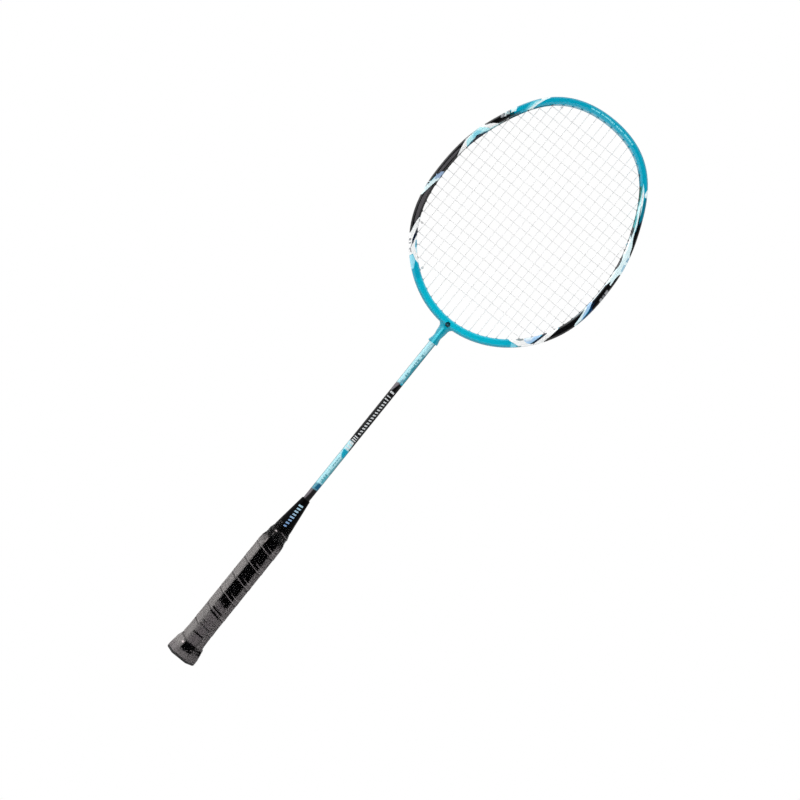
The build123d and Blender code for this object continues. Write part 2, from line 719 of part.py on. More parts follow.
# --------------------------------------------------------- 15, 16 the knots
# Each tail is tied round the string of the other family in its tie-off hole:
# a small barrel of turns round that string, close to the hoop's inner wall.
def build_knots(family, y, name):
    with BuildPart() as knots:
        for hole in TIE_HOLES[family]:
            held_family, index = [key[:2] for key, value in end_hole.items() if value is hole][0]
            x, z = string_crossing(hole, held_family, index)
            if held_family == "main":
                run = (0, 0, 1 if z < HEAD_CENTRE_Z else -1)
            else:
                run = (1 if x < 0 else -1, 0, 0)
            centre = (x + run[0] * KNOT_SHIFT, y, z + run[2] * KNOT_SHIFT)
            with BuildSketch(Plane(origin=centre, x_dir=(0, 1, 0), z_dir=run)) as disc:
                Circle(KNOT_R)
                Circle(STRING_R + 0.04, mode=Mode.SUBTRACT)
            extrude(disc.sketch, amount=KNOT_HALF_LENGTH, both=True)
        rims = knots.edges().filter_by(GeomType.CIRCLE).filter_by(lambda e: e.radius > 1)
        fillet(rims, KNOT_EDGE_R)
    save(knots, name)


build_knots("main", LAYER, "main_knots")
build_knots("cross", -LAYER, "cross_knots")


# ---------------------------------------------------------- 17-22 grommets
def build_grommets(zone, name, sides=(1, -1)):
    with BuildPart() as grommets:
        for hole in holes:
            if hole.zone != zone or hole.side not in sides:
                continue
            with Locations(hole_location(hole)):
                Cylinder(FLANGE_R, FLANGE_T, align=(Align.CENTER, Align.CENTER, Align.MIN))
                Cylinder(GROMMET_R, hole.barrel, align=(Align.CENTER, Align.CENTER, Align.MAX))
                Cylinder(GROMMET_BORE_R, 30, mode=Mode.SUBTRACT)
    save(grommets, name)


build_grommets("top", "grommets_crown")
build_grommets("bottom", "grommets_lower")
build_grommets("side", "grommets_left", sides=(-1,))
build_grommets("side", "grommets_right", sides=(1,))
build_grommets("shared", "grommets_shared")
build_grommets("throat", "grommets_throat")
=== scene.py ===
# Badminton racket, strung, with its factory grip still in clear film.
# Shapes are worked out in millimetres and made in metres, in the CAD frame: +Z runs up
# the shaft from the butt, +X across the head, and the string bed lies in the XZ plane.
# The camera looks along +Y, so the front is -Y, left is -X and right is +X.
import bpy
import math
from collections import namedtuple
from functools import reduce
from mathutils import Vector, Matrix, noise


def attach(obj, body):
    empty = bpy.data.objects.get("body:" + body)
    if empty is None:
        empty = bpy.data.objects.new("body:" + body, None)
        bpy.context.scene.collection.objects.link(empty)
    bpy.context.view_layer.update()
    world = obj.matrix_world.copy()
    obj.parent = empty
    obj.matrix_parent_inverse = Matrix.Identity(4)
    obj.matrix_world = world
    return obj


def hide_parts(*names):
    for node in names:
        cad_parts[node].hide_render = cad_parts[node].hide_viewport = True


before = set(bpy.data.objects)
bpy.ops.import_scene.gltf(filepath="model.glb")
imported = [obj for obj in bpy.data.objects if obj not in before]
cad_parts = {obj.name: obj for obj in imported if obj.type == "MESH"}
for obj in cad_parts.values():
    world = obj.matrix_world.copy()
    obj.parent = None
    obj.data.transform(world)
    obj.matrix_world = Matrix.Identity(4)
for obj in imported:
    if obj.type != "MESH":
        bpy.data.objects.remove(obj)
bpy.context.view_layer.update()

MM = 0.001                 # metres in a millimetre

# ---------------------------------------------------------------- dimensions
LENGTH = 675.0             # butt face to crown

# head hoop: radius of the outer outline about the head's centre, as a cosine
# series of the angle measured from the crown
OUTLINE = (116.83, -2.764, 13.969, 1.703, 0.231, -0.282, -0.244, -0.583, -0.225)
HEAD_CENTRE_Z = LENGTH - sum(OUTLINE)
HOOP_CROWN_WIDTH = 7.0     # in the plane of the bed
HOOP_THROAT_WIDTH = 8.0
GROOVE_DEPTH = 1.2

# string bed
N_MAINS = 22
MAIN_PITCH = 8.32
N_CROSSES = 22
CROSS_PITCH = 9.395
LOWEST_CROSS_Z = 450.6
STRING_R = 0.34
LAYER = 0.36               # mains rest at -LAYER in Y, crosses at +LAYER
MOUTH = 1.0                # a string turns this far inside the hoop's inner wall
LOOP_DEPTH = 0.44          # string centre line below the hoop's outer outline
BEND_BACK = 0.55           # a string's corner starts to round this far before it
BEND_STEPS = 4
TUBE_SIDES = 8
TAIL_OVERHANG = 0.35       # a tail ends this far past the barrel
KNOT_OFFSET = 2.3          # middle of a knot from the hole's axis
KNOT_TURNS = 2.75
KNOT_HALF_LENGTH = 0.82

# string holes
SEAT_GAP = 0.03            # barrel seat below the groove floor
LEANING_SEAT_GAP = 0.65
GROMMET_LIP = 0.5          # how far the barrel shows inside the hoop
SHARE_BELOW = 3.35         # ends closer than this along the hoop share a hole
THROAT_EXIT_X = 7.6        # the two middle mains leave the hoop beside the sleeve

# cone cap
CONE_BASE_Z, CONE_BASE_R = 145.6, 10.2
CONE_KNEE_Z, CONE_KNEE_R = 162.0, 8.7
CONE_TOP_Z, CONE_TOP_R = 195.3, 4.6

# grip and film
RING_POINTS = 160
RING_STEPS = 300           # steps up the grip, and up the film
FLAT_Y = 1.0               # half width across X minus half width across Y
GRIP_HALF_WIDTH = 12.2
GRIP_BOTTOM_Z = 2.6
GRIP_TOP_Z = 153.0
GRIP_WALL_AT_CAP = 1.4
GRIP_BORE_AT_CAP = 11.02   # least half width of the bore over the butt cap
GRIP_BORE = 10.8           # half width of the bore over the handle
GRIP_BORE_TOP_R = 9.3      # least bore radius over the cone
CAP_SLEEVE_TOP_Z = 20.0
FILM_TOP_Z = 165.0
FILM_SKIN = 0.08
WRAP_PITCH = 19.2          # rise of the wound strip in one turn
WRAP_START = 137.0
WRAP_PHASE = 0.04          # in turns

# outside of the grip: height, half width in X, corner radius, X minus Y half width
GRIP_PROFILE = (
    (GRIP_BOTTOM_Z, 16.0, 3.0, 1.0), (4.0, 15.75, 3.0, 1.0), (6.7, 15.25, 3.0, 1.0),
    (9.7, 14.95, 3.0, 1.0), (12.7, 14.4, 2.8, 1.0), (14.2, 13.85, 2.6, 1.0),
    (15.7, 13.2, 2.4, 1.0), (17.2, 12.75, 2.3, 1.0), (18.7, 12.5, 2.2, 1.0),
    (25.0, 12.35, 2.2, 1.0), (31.0, GRIP_HALF_WIDTH, 2.2, 1.0), (138.0, GRIP_HALF_WIDTH, 2.2, 1.0),
    (141.7, 11.95, 2.6, 0.9), (143.7, 11.7, 3.4, 0.75), (145.7, 11.05, 5.5, 0.4),
    (147.0, 10.55, 9.6, 0.0), (150.0, 10.4, 9.7, 0.0), (GRIP_TOP_Z, 10.3, 9.7, 0.0),
)
# the film follows the grip up to its top three stations, then closes on the cone
FILM_PROFILE = tuple((z, half + 0.07, corner, flat) for z, half, corner, flat in GRIP_PROFILE[:-3]) + (
    (147.0, 10.95, 10.0, 0.0), (150.0, 10.85, 9.9, 0.0), (153.4, 10.75, 9.8, 0.0),
    (156.4, 10.2, 9.2, 0.0), (159.5, 9.35, 8.4, 0.0), (FILM_TOP_Z, 8.75, 7.8, 0.0),
)

# floor and camera, in metres
FLOOR_HALF = 6.0
FLOOR_Z = -0.0002
CAMERA_ROLL = math.radians(51.14)
CAMERA_DISTANCE = 1.008
CAMERA_AIM = (0.010461, 0.329156)    # x and z
VIEW_WIDTH = 0.78608                 # across the picture in the XZ plane
SENSOR_WIDTH = 36.0                  # in millimetres


# ------------------------------------------------------- shape of the hoop
def smooth(start, end, value):
    """0 at start and 1 at end, with a smooth rise between."""
    share = min(1.0, max(0.0, (value - start) / (end - start)))
    return share * share * (3 - 2 * share)


def bisect(function, low, high):
    """Where the function changes sign."""
    positive = function(low) > 0
    for _ in range(34):
        middle = (low + high) / 2
        if (function(middle) > 0) == positive:
            low = middle
        else:
            high = middle
    return (low + high) / 2


def hoop_width(angle):
    """Width of the hoop in the plane of the bed."""
    widening = HOOP_THROAT_WIDTH - HOOP_CROWN_WIDTH
    return HOOP_CROWN_WIDTH + widening * ((1 - math.cos(angle)) / 2) ** 1.5


def rim_frame(angle):
    """Point (x, z) of the outer outline, and the unit normal into the head."""
    radius = sum(c * math.cos(j * angle) for j, c in enumerate(OUTLINE))
    slope = sum(-j * c * math.sin(j * angle) for j, c in enumerate(OUTLINE))
    point = (radius * math.sin(angle), HEAD_CENTRE_Z + radius * math.cos(angle))
    along_x = slope * math.sin(angle) + radius * math.cos(angle)
    along_z = slope * math.cos(angle) - radius * math.sin(angle)
    length = math.hypot(along_x, along_z)
    return point, (along_z / length, -along_x / length)


def shifted(point, direction, distance):
    return (point[0] + distance * direction[0], point[1] + distance * direction[1])


def below_rim(angle, depth):
    """Point at a depth below the outer outline, along its normal."""
    return shifted(*rim_frame(angle), depth)


def mouth_point(angle):
    """Where a string turns in front of the inner wall."""
    return below_rim(angle, hoop_width(angle) + MOUTH)


# ------------------------------------------------- string ends and their holes
MAIN_X = [(i - (N_MAINS - 1) / 2) * MAIN_PITCH for i in range(N_MAINS)]
CROSS_Z = [LOWEST_CROSS_Z + j * CROSS_PITCH for j in range(N_CROSSES)]
LINES = {"main": MAIN_X, "cross": CROSS_Z}
PITCH = {"main": MAIN_PITCH, "cross": CROSS_PITCH}
AXIS = {"main": 0, "cross": 1}         # a main has a fixed x, a cross a fixed z
REST_Y = {"main": -LAYER, "cross": LAYER}
OTHER = {"main": "cross", "cross": "main"}
PLACES = {"main": ("bottom", "top"), "cross": ("left", "right")}

End = namedtuple("End", "angle family index place")
Hole = namedtuple("Hole", "angle seat inward barrel side leaning families")


def right_half_ends():
    """Every string end in the right half of the hoop, from crown to throat."""
    widest = max((mouth_point(math.radians(a / 4))[0], math.radians(a / 4)) for a in range(200, 560))[1]
    ends = []
    for i, x in enumerate(MAIN_X):
        if x > 0:
            for place, low, high in (("top", 0.0, widest), ("bottom", widest, math.pi)):
                angle = bisect(lambda a: mouth_point(a)[0] - x, low, high)
                ends.append(End(angle, "main", i, place))
    for j, z in enumerate(CROSS_Z):
        angle = bisect(lambda a: mouth_point(a)[1] - z, 0.0, math.pi)
        ends.append(End(angle, "cross", j, "right"))
    return sorted(ends)


def grouped(ends):
    """Ends by hole: neighbours of two families that would crowd each other share one."""
    groups = []
    for end in ends:
        before = groups[-1] if groups else []
        if len(before) == 1 and before[0].family != end.family and math.dist(
                below_rim(before[0].angle, GROOVE_DEPTH), below_rim(end.angle, GROOVE_DEPTH)) < SHARE_BELOW:
            before.append(end)
        else:
            groups.append([end])
    return groups


def hole_angle(group):
    """Angle of the hole for one or two ends: the mouth of each stays clear of the wall."""
    if len(group) == 1:
        return group[0].angle

    def cost(angle):
        wall = below_rim(angle, hoop_width(angle))
        inward = rim_frame(angle)[1]
        clear = []
        for end in group:
            axis = AXIS[end.family]
            clear.append((LINES[end.family][end.index] - wall[axis]) / inward[axis])
        return max(clear) + 50 * max(0.0, MOUTH - min(clear))

    middle = (group[0].angle + group[1].angle) / 2
    return min((middle + math.radians(k * 0.1) for k in range(-40, 41)), key=cost)


def drill(group):
    """Angle, seat, inward axis, barrel length and lean of a hole in the right half."""
    angle = hole_angle(group)
    inward = rim_frame(angle)[1]
    seat = below_rim(angle, GROOVE_DEPTH + SEAT_GAP)
    end = group[0]
    leaning = (len(group) == 1 and end.family == "main" and end.place == "bottom"
               and MAIN_X[end.index] < MAIN_PITCH)
    if leaning:
        # middle mains: the hole leans outwards to miss the sleeve
        mouth = mouth_point(angle)
        depth = GROOVE_DEPTH + LEANING_SEAT_GAP
        seat_angle = bisect(lambda a: below_rim(a, depth)[0] - THROAT_EXIT_X, math.radians(160), math.pi)
        seat = below_rim(seat_angle, depth)
        length = math.hypot(mouth[0] - seat[0], mouth[1] - seat[1])
        inward = ((mouth[0] - seat[0]) / length, (mouth[1] - seat[1]) / length)
    tip = below_rim(angle, hoop_width(angle) + GROMMET_LIP)
    barrel = (tip[0] - seat[0]) * inward[0] + (tip[1] - seat[1]) * inward[1]
    return angle, seat, inward, barrel, leaning


def drill_all():
    """All holes of both halves, and the hole number of each (family, index, place)."""
    made, numbers = [], {}
    for group in grouped(right_half_ends()):
        angle, seat, inward, barrel, leaning = drill(group)
        families = {end.family for end in group}
        for side in (1, -1):
            for end in group:
                index, place = end.index, end.place
                if side == -1 and end.family == "main":
                    index = N_MAINS - 1 - index
                elif side == -1:
                    place = "left"
                numbers[end.family, index, place] = len(made)
            made.append(Hole(side * angle, (side * seat[0], seat[1]), (side * inward[0], inward[1]),
                             barrel, side, leaning, families))
    return made, numbers


holes, end_hole = drill_all()


def on_axis(hole, family, index):
    """Where the line of a string meets the hole's axis."""
    axis = AXIS[family]
    reach = (LINES[family][index] - hole.seat[axis]) / hole.inward[axis]
    return shifted(hole.seat, hole.inward, reach)


def outer_point(hole):
    """Where the string turns into the groove, and its angle round the hoop."""
    def nearest_angle(point):
        def sideways(angle):
            rim, normal = rim_frame(angle)
            return (point[0] - rim[0]) * normal[1] - (point[1] - rim[1]) * normal[0]

        guess = math.atan2(point[0], point[1] - HEAD_CENTRE_Z)
        return bisect(sideways, guess - 0.15, guess + 0.15)

    def too_deep(reach):
        point = shifted(hole.seat, hole.inward, -reach)
        rim, normal = rim_frame(nearest_angle(point))
        return (point[0] - rim[0]) * normal[0] + (point[1] - rim[1]) * normal[1] - LOOP_DEPTH

    point = shifted(hole.seat, hole.inward, -bisect(too_deep, -0.5, 3.0))
    return point, nearest_angle(point)


def tail_end(hole):
    return shifted(hole.seat, hole.inward, hole.barrel + TAIL_OVERHANG)


def nearest_other(family, index, place, toward):
    """First hole along the hoop without this family: toward the throat 1, the crown -1."""
    start = holes[end_hole[family, index, place]]

    def step(number):
        return (abs(holes[number].angle) - abs(start.angle)) * toward

    return min((number for number, hole in enumerate(holes)
                if family not in hole.families and hole.side == start.side
                and not hole.leaning and step(number) > math.radians(2.0)), key=step)


# the holes where each string starts and stops
TIE = {
    "main": (nearest_other("main", 0, "bottom", 1), nearest_other("main", N_MAINS - 1, "bottom", 1)),
    "cross": (nearest_other("cross", 0, "left", 1), nearest_other("cross", N_CROSSES - 1, "left", -1)),
}


# ------------------------------------------------------------ mesh builders
def add_mesh(name, node, verts, faces, material, slot):
    """A smooth piece from points in millimetres, in place of a CAD node."""
    mesh = bpy.data.meshes.new(name)
    mesh.from_pydata([(x * MM, y * MM, z * MM) for x, y, z in verts], [], faces)
    mesh.update()
    for polygon in mesh.polygons:
        polygon.use_smooth = True
    piece = bpy.data.objects.new(name, mesh)
    bpy.context.scene.collection.objects.link(piece)
    mesh.materials.append(material)
    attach(piece, "root")
    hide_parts(node)


def bend_corners(points):
    """The same line with its sharp corners turned into short curves."""
    out = [points[0]]
    for before, corner, after in zip(points, points[1:], points[2:]):
        corner = Vector(corner)
        arriving, leaving = corner - Vector(before), Vector(after) - corner
        length_in, length_out = arriving.length, leaving.length
        if length_in < 1e-6 or length_out < 1e-6:
            continue
        if arriving.angle(leaving) < math.radians(12):
            out.append(tuple(corner))
            continue
        back = min(BEND_BACK, length_in * 0.45, length_out * 0.45)
        start = corner - arriving / length_in * back
        stop = corner + leaving / length_out * back
        for s in range(BEND_STEPS + 1):
            f = s / BEND_STEPS
            out.append(tuple(start * (1 - f) ** 2 + corner * 2 * f * (1 - f) + stop * f * f))
    out.append(points[-1])
    return out


def tube_mesh(lines, radius):
    """Round closed tubes along lines, as one vertex and face list."""
    verts, faces = [], []
    sides = TUBE_SIDES
    for line in lines:
        points = [Vector(line[0])]
        for point in map(Vector, line[1:]):
            if (point - points[-1]).length > 0.02:
                points.append(point)
        base, last = len(verts), len(points) - 1
        normal = (points[1] - points[0]).normalized().orthogonal().normalized()
        for k, point in enumerate(points):
            tangent = (points[min(k + 1, last)] - points[max(k - 1, 0)]).normalized()
            normal = (normal - tangent * normal.dot(tangent)).normalized()
            across = tangent.cross(normal)
            for s in range(sides):
                turn = 2 * math.pi * s / sides
                offset = (normal * math.cos(turn) + across * math.sin(turn)) * radius
                verts.append(tuple(point + offset))
        for k in range(last):
            for s in range(sides):
                a, b = base + k * sides + s, base + k * sides + (s + 1) % sides
                faces.append((a, b, b + sides, a + sides))
        faces.append(tuple(base + s for s in reversed(range(sides))))
        faces.append(tuple(base + last * sides + s for s in range(sides)))
    return verts, faces


def shell_mesh(outer_rings, inner_rings):
    """A closed tube wall from rings of points, bottom to top, outside and inside."""
    rings = outer_rings + inner_rings[::-1]
    count = len(rings[0])
    faces = []
    for k in range(len(rings)):
        j = (k + 1) % len(rings)
        for s in range(count):
            t = (s + 1) % count
            faces.append((k * count + s, k * count + t, j * count + t, j * count + s))
    return [point for ring in rings for point in ring], faces


# ------------------------------------------------------------- the strings
def bed_line(family, index, start, stop):
    """One string across the bed: over one and under the next, flat towards its holes."""
    crossed = LINES[OTHER[family]]
    pitch = PITCH[OTHER[family]]
    fixed = LINES[family][index]
    rest_y = REST_Y[family]
    weave = rest_y * (1 if index % 2 == 0 else -1)
    start, stop = start[1 - AXIS[family]], stop[1 - AXIS[family]]
    low, high = min(start, stop), max(start, stop)
    inner = [v for v in crossed if low + 1.2 < v < high - 1.2]
    steps = max(8, int((high - low) / (pitch / 6)))
    points = []
    for k in range(steps + 1):
        along = start + (stop - start) * k / steps
        wave = weave * math.cos(math.pi * (along - crossed[0]) / pitch)
        share = (smooth(low, min(inner[0], low + pitch), along)
                 * (1 - smooth(max(inner[-1], high - pitch), high, along)))
        y = wave * share + rest_y * (1 - share)
        points.append((along, y, fixed) if family == "cross" else (fixed, y, along))
    return points


def string_line(family):
    """Centre line of one continuous string, from one tail to the other."""
    points = []
    first, second = PLACES[family]
    start_hole, stop_hole = TIE[family]
    last = len(LINES[family]) - 1

    def flat(point):
        points.append((point[0], REST_Y[family], point[1]))

    def groove(hole_from, hole_to):
        (start, angle_from), (stop, angle_to) = outer_point(holes[hole_from]), outer_point(holes[hole_to])
        flat(start)
        steps = max(1, int(abs(angle_to - angle_from) / math.radians(3.0)))
        for k in range(1, steps):
            flat(below_rim(angle_from + (angle_to - angle_from) * k / steps, LOOP_DEPTH))
        flat(stop)

    flat(tail_end(holes[start_hole]))
    groove(start_hole, end_hole[family, 0, first])
    for index in range(last + 1):
        near, far = (first, second) if index % 2 == 0 else (second, first)
        mouths = [on_axis(holes[end_hole[family, index, place]], family, index) for place in (near, far)]
        points.extend(bed_line(family, index, *mouths))
        following = end_hole[family, index + 1, far] if index < last else stop_hole
        groove(end_hole[family, index, far], following)
    flat(tail_end(holes[stop_hole]))
    return points


def knot_lines(family):
    """Each knot: the tail wound round a string of the other family, its end tucked across."""
    knots = []
    for number in TIE[family]:
        other, index, _ = [key for key, value in end_hole.items() if value == number][0]
        x, z = on_axis(holes[number], other, index)
        if other == "main":
            run = Vector((0, 0, 1 if z < HEAD_CENTRE_Z else -1))
        else:
            run = Vector((1 if x < 0 else -1, 0, 0))
        centre = Vector((x, REST_Y[other], z)) + run * KNOT_OFFSET
        across = Vector((0, 1, 0))
        upright = run.cross(across)
        turns = []
        for k in range(64):
            f = k / 63
            turn = 2 * math.pi * KNOT_TURNS * f
            radius = STRING_R * 2 + 0.06 + 0.05 * math.sin(3 * turn)
            turns.append(tuple(centre + run * (-KNOT_HALF_LENGTH + 2 * KNOT_HALF_LENGTH * f)
                               + (across * math.cos(turn) + upright * math.sin(turn)) * radius))
        # back across the turns on the outside
        last = Vector(turns[-1])
        out = (last - centre - run * KNOT_HALF_LENGTH).normalized()
        for f in (0.25, 0.5, 0.75, 1.0):
            lift = out * (0.42 * math.sin(math.pi * min(1.0, f * 1.2)))
            turns.append(tuple(last - run * (1.7 * f) + lift + upright * 0.15 * f))
        knots.append(turns)
    return knots


# ---------------------------------------------------------- grip and its film
def cone_radius(z):
    if z < CONE_KNEE_Z:
        share = (CONE_KNEE_R - CONE_BASE_R) * (z - CONE_BASE_Z) / (CONE_KNEE_Z - CONE_BASE_Z)
        return CONE_BASE_R + share
    return CONE_KNEE_R + (CONE_TOP_R - CONE_KNEE_R) * (z - CONE_KNEE_Z) / (CONE_TOP_Z - CONE_KNEE_Z)


def octagon(half, corner, flat):
    """Rounded octagon as evenly spaced (x, y), from the left edge through the front."""
    half_y = half - flat
    share = (1 - flat / FLAT_Y) * 0.12
    facet_x, facet_y = half * (0.53 - share), half * (0.50 - share * 0.75)
    corners = [Vector(p) for p in (
        (-half, -facet_y), (-facet_x, -half_y), (facet_x, -half_y), (half, -facet_y),
        (half, facet_y), (facet_x, half_y), (-facet_x, half_y), (-half, facet_y))]
    path = [(-half, 0.0)]
    for k, tip in enumerate(corners):
        before, after = corners[k - 1] - tip, corners[(k + 1) % 8] - tip
        angle = before.angle(after)
        back = min(corner / math.tan(angle / 2), before.length * 0.495, after.length * 0.495)
        radius = back * math.tan(angle / 2)
        before, after = before.normalized(), after.normalized()
        middle = tip + (before + after).normalized() * math.hypot(back, radius)
        start, stop = tip + before * back - middle, tip + after * back - middle
        start, stop = math.atan2(start.y, start.x), math.atan2(stop.y, stop.x)
        while stop - start > math.pi:
            stop -= 2 * math.pi
        while stop - start < -math.pi:
            stop += 2 * math.pi
        for s in range(7):
            turn = start + (stop - start) * s / 6
            path.append((middle.x + radius * math.cos(turn), middle.y + radius * math.sin(turn)))
    path.append((-half, 0.0))
    lengths = [0.0]
    for a, b in zip(path, path[1:]):
        lengths.append(lengths[-1] + math.hypot(b[0] - a[0], b[1] - a[1]))
    out, k = [], 0
    for n in range(RING_POINTS):
        goal = lengths[-1] * n / RING_POINTS
        while lengths[k + 1] < goal:
            k += 1
        f = (goal - lengths[k]) / max(1e-9, lengths[k + 1] - lengths[k])
        a, b = path[k], path[k + 1]
        out.append((a[0] + (b[0] - a[0]) * f, a[1] + (b[1] - a[1]) * f))
    return out


def profile_at(profile, z):
    """Half width, corner radius and X minus Y half width at a height."""
    z = min(max(z, profile[0][0]), profile[-1][0])
    for low, high in zip(profile, profile[1:]):
        if z <= high[0]:
            f = (z - low[0]) / (high[0] - low[0])
            return [a + (b - a) * f for a, b in zip(low[1:], high[1:])]


def outward(ring):
    """Unit normals of a ring of (x, y) points."""
    normals = []
    for k in range(len(ring)):
        before, after = ring[k - 1], ring[(k + 1) % len(ring)]
        along_x, along_y = after[0] - before[0], after[1] - before[1]
        size = math.hypot(along_x, along_y) or 1.0
        normals.append((along_y / size, -along_x / size))
    sign = 1 if sum(n[0] * p[0] + n[1] * p[1] for n, p in zip(normals, ring)) > 0 else -1
    return [(x * sign, y * sign) for x, y in normals]


def ring_at(profile, z, push):
    """The profile's ring at a height, each point pushed out by push(z, turn, point)."""
    ring = octagon(*profile_at(profile, z))
    out = []
    for k, (point, normal) in enumerate(zip(ring, outward(ring))):
        out.append((*shifted(point, normal, push(z, k / RING_POINTS, point)), z))
    return out


def wrap_height(z, turn):
    """How far the wound strip stands out: a lip at each lower edge, a crease under it."""
    f = ((z - WRAP_START) / WRAP_PITCH + (turn - WRAP_PHASE)) % 1.0
    above, below = f * WRAP_PITCH, (1 - f) * WRAP_PITCH
    lip = 0.34 * math.exp(-above / 3.2) * min(1.0, above / 0.55)
    crease = -0.34 * math.exp(-(min(above, below) / 0.42) ** 2)
    second_crease = -0.12 * math.exp(-((above - 4.6) / 0.5) ** 2)
    fade = smooth(3.5, 8.0, z) * (1 - smooth(141.0, 146.0, z))
    return (lip + crease + second_crease) * fade


def grip_push(z, turn, point):
    """The strip's edges, a soft unevenness, and small tucks round the flare."""
    soft = noise.noise(Vector((point[0] * 0.16, point[1] * 0.16, z * 0.11))) * 0.10
    tucks = 0.10 * math.sin(turn * 2 * math.pi * 26 + 0.7 * math.sin(z))
    fade = smooth(20, 12, z) if z > 12 else smooth(GRIP_BOTTOM_Z, 6.0, z)
    return wrap_height(z, turn) + soft + tucks * fade


def film_push(z, turn, point):
    """Film lies just over the grip, tight over the facets and gathered at both ends."""
    place = Vector((point[0] * 0.30, point[1] * 0.30, z * 0.17))
    ridge = abs(noise.noise(place + Vector((0, 0, 7.3))))
    fine = abs(noise.noise(place * 1.7 + Vector((3.1, 0, 0))))
    top = smooth(139.0, 150.0, z)
    bottom = 1 - smooth(14.0, 26.0, z)
    amount = 0.10 + 0.28 * top + 0.20 * bottom
    lift = 0.16 + amount * (0.9 * (0.42 - min(0.42, ridge)) + 0.30 * (0.4 - min(0.4, fine)))
    waves = math.sin(turn * 2 * math.pi * 23 + 2.2 * math.sin(z * 0.55))
    gather = 0.10 * top * (0.5 + 0.5 * waves)
    return lift + gather + max(0.0, wrap_height(z, turn))


def grip_bore(z):
    """Inside of the grip at a height, over the butt cap, the handle or the cone."""
    if z < CAP_SLEEVE_TOP_Z + 0.3:
        half, corner, flat = profile_at(GRIP_PROFILE, z)
        return octagon(max(half - GRIP_WALL_AT_CAP, GRIP_BORE_AT_CAP), max(1.0, corner - 0.8), flat)
    if z < CONE_BASE_Z:
        return octagon(GRIP_BORE, 1.8, FLAT_Y)
    radius = min(cone_radius(z) + 0.02, profile_at(GRIP_PROFILE, z)[0] - 0.1)
    radius = max(radius, GRIP_BORE_TOP_R)
    # starts at the left edge and goes through the front, like the octagon
    turns = [2 * math.pi * k / RING_POINTS for k in range(RING_POINTS)]
    return [(-radius * math.cos(turn), -radius * math.sin(turn)) for turn in turns]


def ring_heights(top):
    return [GRIP_BOTTOM_Z + (top - GRIP_BOTTOM_Z) * k / RING_STEPS for k in range(RING_STEPS + 1)]


def grip_mesh():
    heights = ring_heights(GRIP_TOP_Z)
    return shell_mesh([ring_at(GRIP_PROFILE, z, grip_push) for z in heights],
                      [[(x, y, z) for x, y in grip_bore(z)] for z in heights])


def film_mesh():
    heights = ring_heights(FILM_TOP_Z)
    return shell_mesh([ring_at(FILM_PROFILE, z, film_push) for z in heights],
                      [ring_at(FILM_PROFILE, z, lambda *at: film_push(*at) - FILM_SKIN) for z in heights])


# ------------------------------------------------------------ shader building
class Value:
    """An output of a node that can be used in arithmetic; each step adds a node."""

    def __init__(self, graph, socket):
        self.graph = graph
        self.socket = socket

    def __add__(self, other):
        return self.graph.calc("ADD", self, other)

    def __sub__(self, other):
        return self.graph.calc("SUBTRACT", self, other)

    def __rsub__(self, other):
        return self.graph.calc("SUBTRACT", other, self)

    def __mul__(self, other):
        return self.graph.calc("MULTIPLY", self, other)

    def __truediv__(self, other):
        return self.graph.calc("DIVIDE", self, other)

    def __abs__(self):
        return self.graph.calc("ABSOLUTE", self)

    def __lt__(self, other):
        return self.graph.calc("LESS_THAN", self, other)

    def __gt__(self, other):
        return self.graph.calc("GREATER_THAN", self, other)

    def times_plus(self, factor, offset):
        return self.graph.calc("MULTIPLY_ADD", self, factor, offset)

    def rise(self, zero_at, one_at):
        """0 at one value and 1 at the other, smooth, either way round."""
        low, high = (0.0, 1.0) if zero_at < one_at else (1.0, 0.0)
        return self.graph.node(
            "ShaderNodeMapRange",
            {0: self, 1: min(zero_at, one_at), 2: max(zero_at, one_at), 3: low, 4: high},
            interpolation_type="SMOOTHSTEP", clamp=True)

    def window(self, low, high, soft):
        """1 between low and high, with soft edges centred on them."""
        half = soft / 2
        return self.rise(low - half, low + half) * self.rise(high + half, high - half)


def least(*values):
    return reduce(lambda a, b: a.graph.calc("MINIMUM", a, b), values)


def most(*values):
    return reduce(lambda a, b: a.graph.calc("MAXIMUM", a, b), values)


def turn_at(a, b, c):
    """Above 0 where the path a, b, c turns left."""
    return (b[0] - a[0]) * (c[1] - b[1]) - (b[1] - a[1]) * (c[0] - b[0])


def convex_pieces(corners):
    """An area as convex pieces, each with flags for the edges it shares with another piece."""
    total = sum(a[0] * b[1] - b[0] * a[1] for a, b in zip(corners, corners[1:] + corners[:1]))
    loop = corners if total > 0 else corners[::-1]
    count = len(loop)
    if all(turn_at(loop[k - 1], loop[k], loop[(k + 1) % count]) > -1e-6 for k in range(count)):
        return [(loop, [False] * count)]

    def holds(triangle, point):
        return all(turn_at(triangle[k], triangle[(k + 1) % 3], point) > -1e-9 for k in range(3))

    # cut off one corner at a time that holds no other corner
    left = list(range(count))
    pieces = []
    while len(left) > 3:
        for k in range(len(left)):
            ear = (left[k - 1], left[k], left[(k + 1) % len(left)])
            triangle = [loop[i] for i in ear]
            if turn_at(*triangle) <= 1e-9 or any(holds(triangle, loop[o]) for o in left if o not in ear):
                continue
            pieces.append(ear)
            left.pop(k)
            break
        else:
            break
    pieces.append(tuple(left[:3]))
    out = []
    for piece in pieces:
        shared = [(b - a) % count not in (1, count - 1) for a, b in zip(piece, piece[1:] + piece[:1])]
        out.append(([loop[i] for i in piece], shared))
    return out


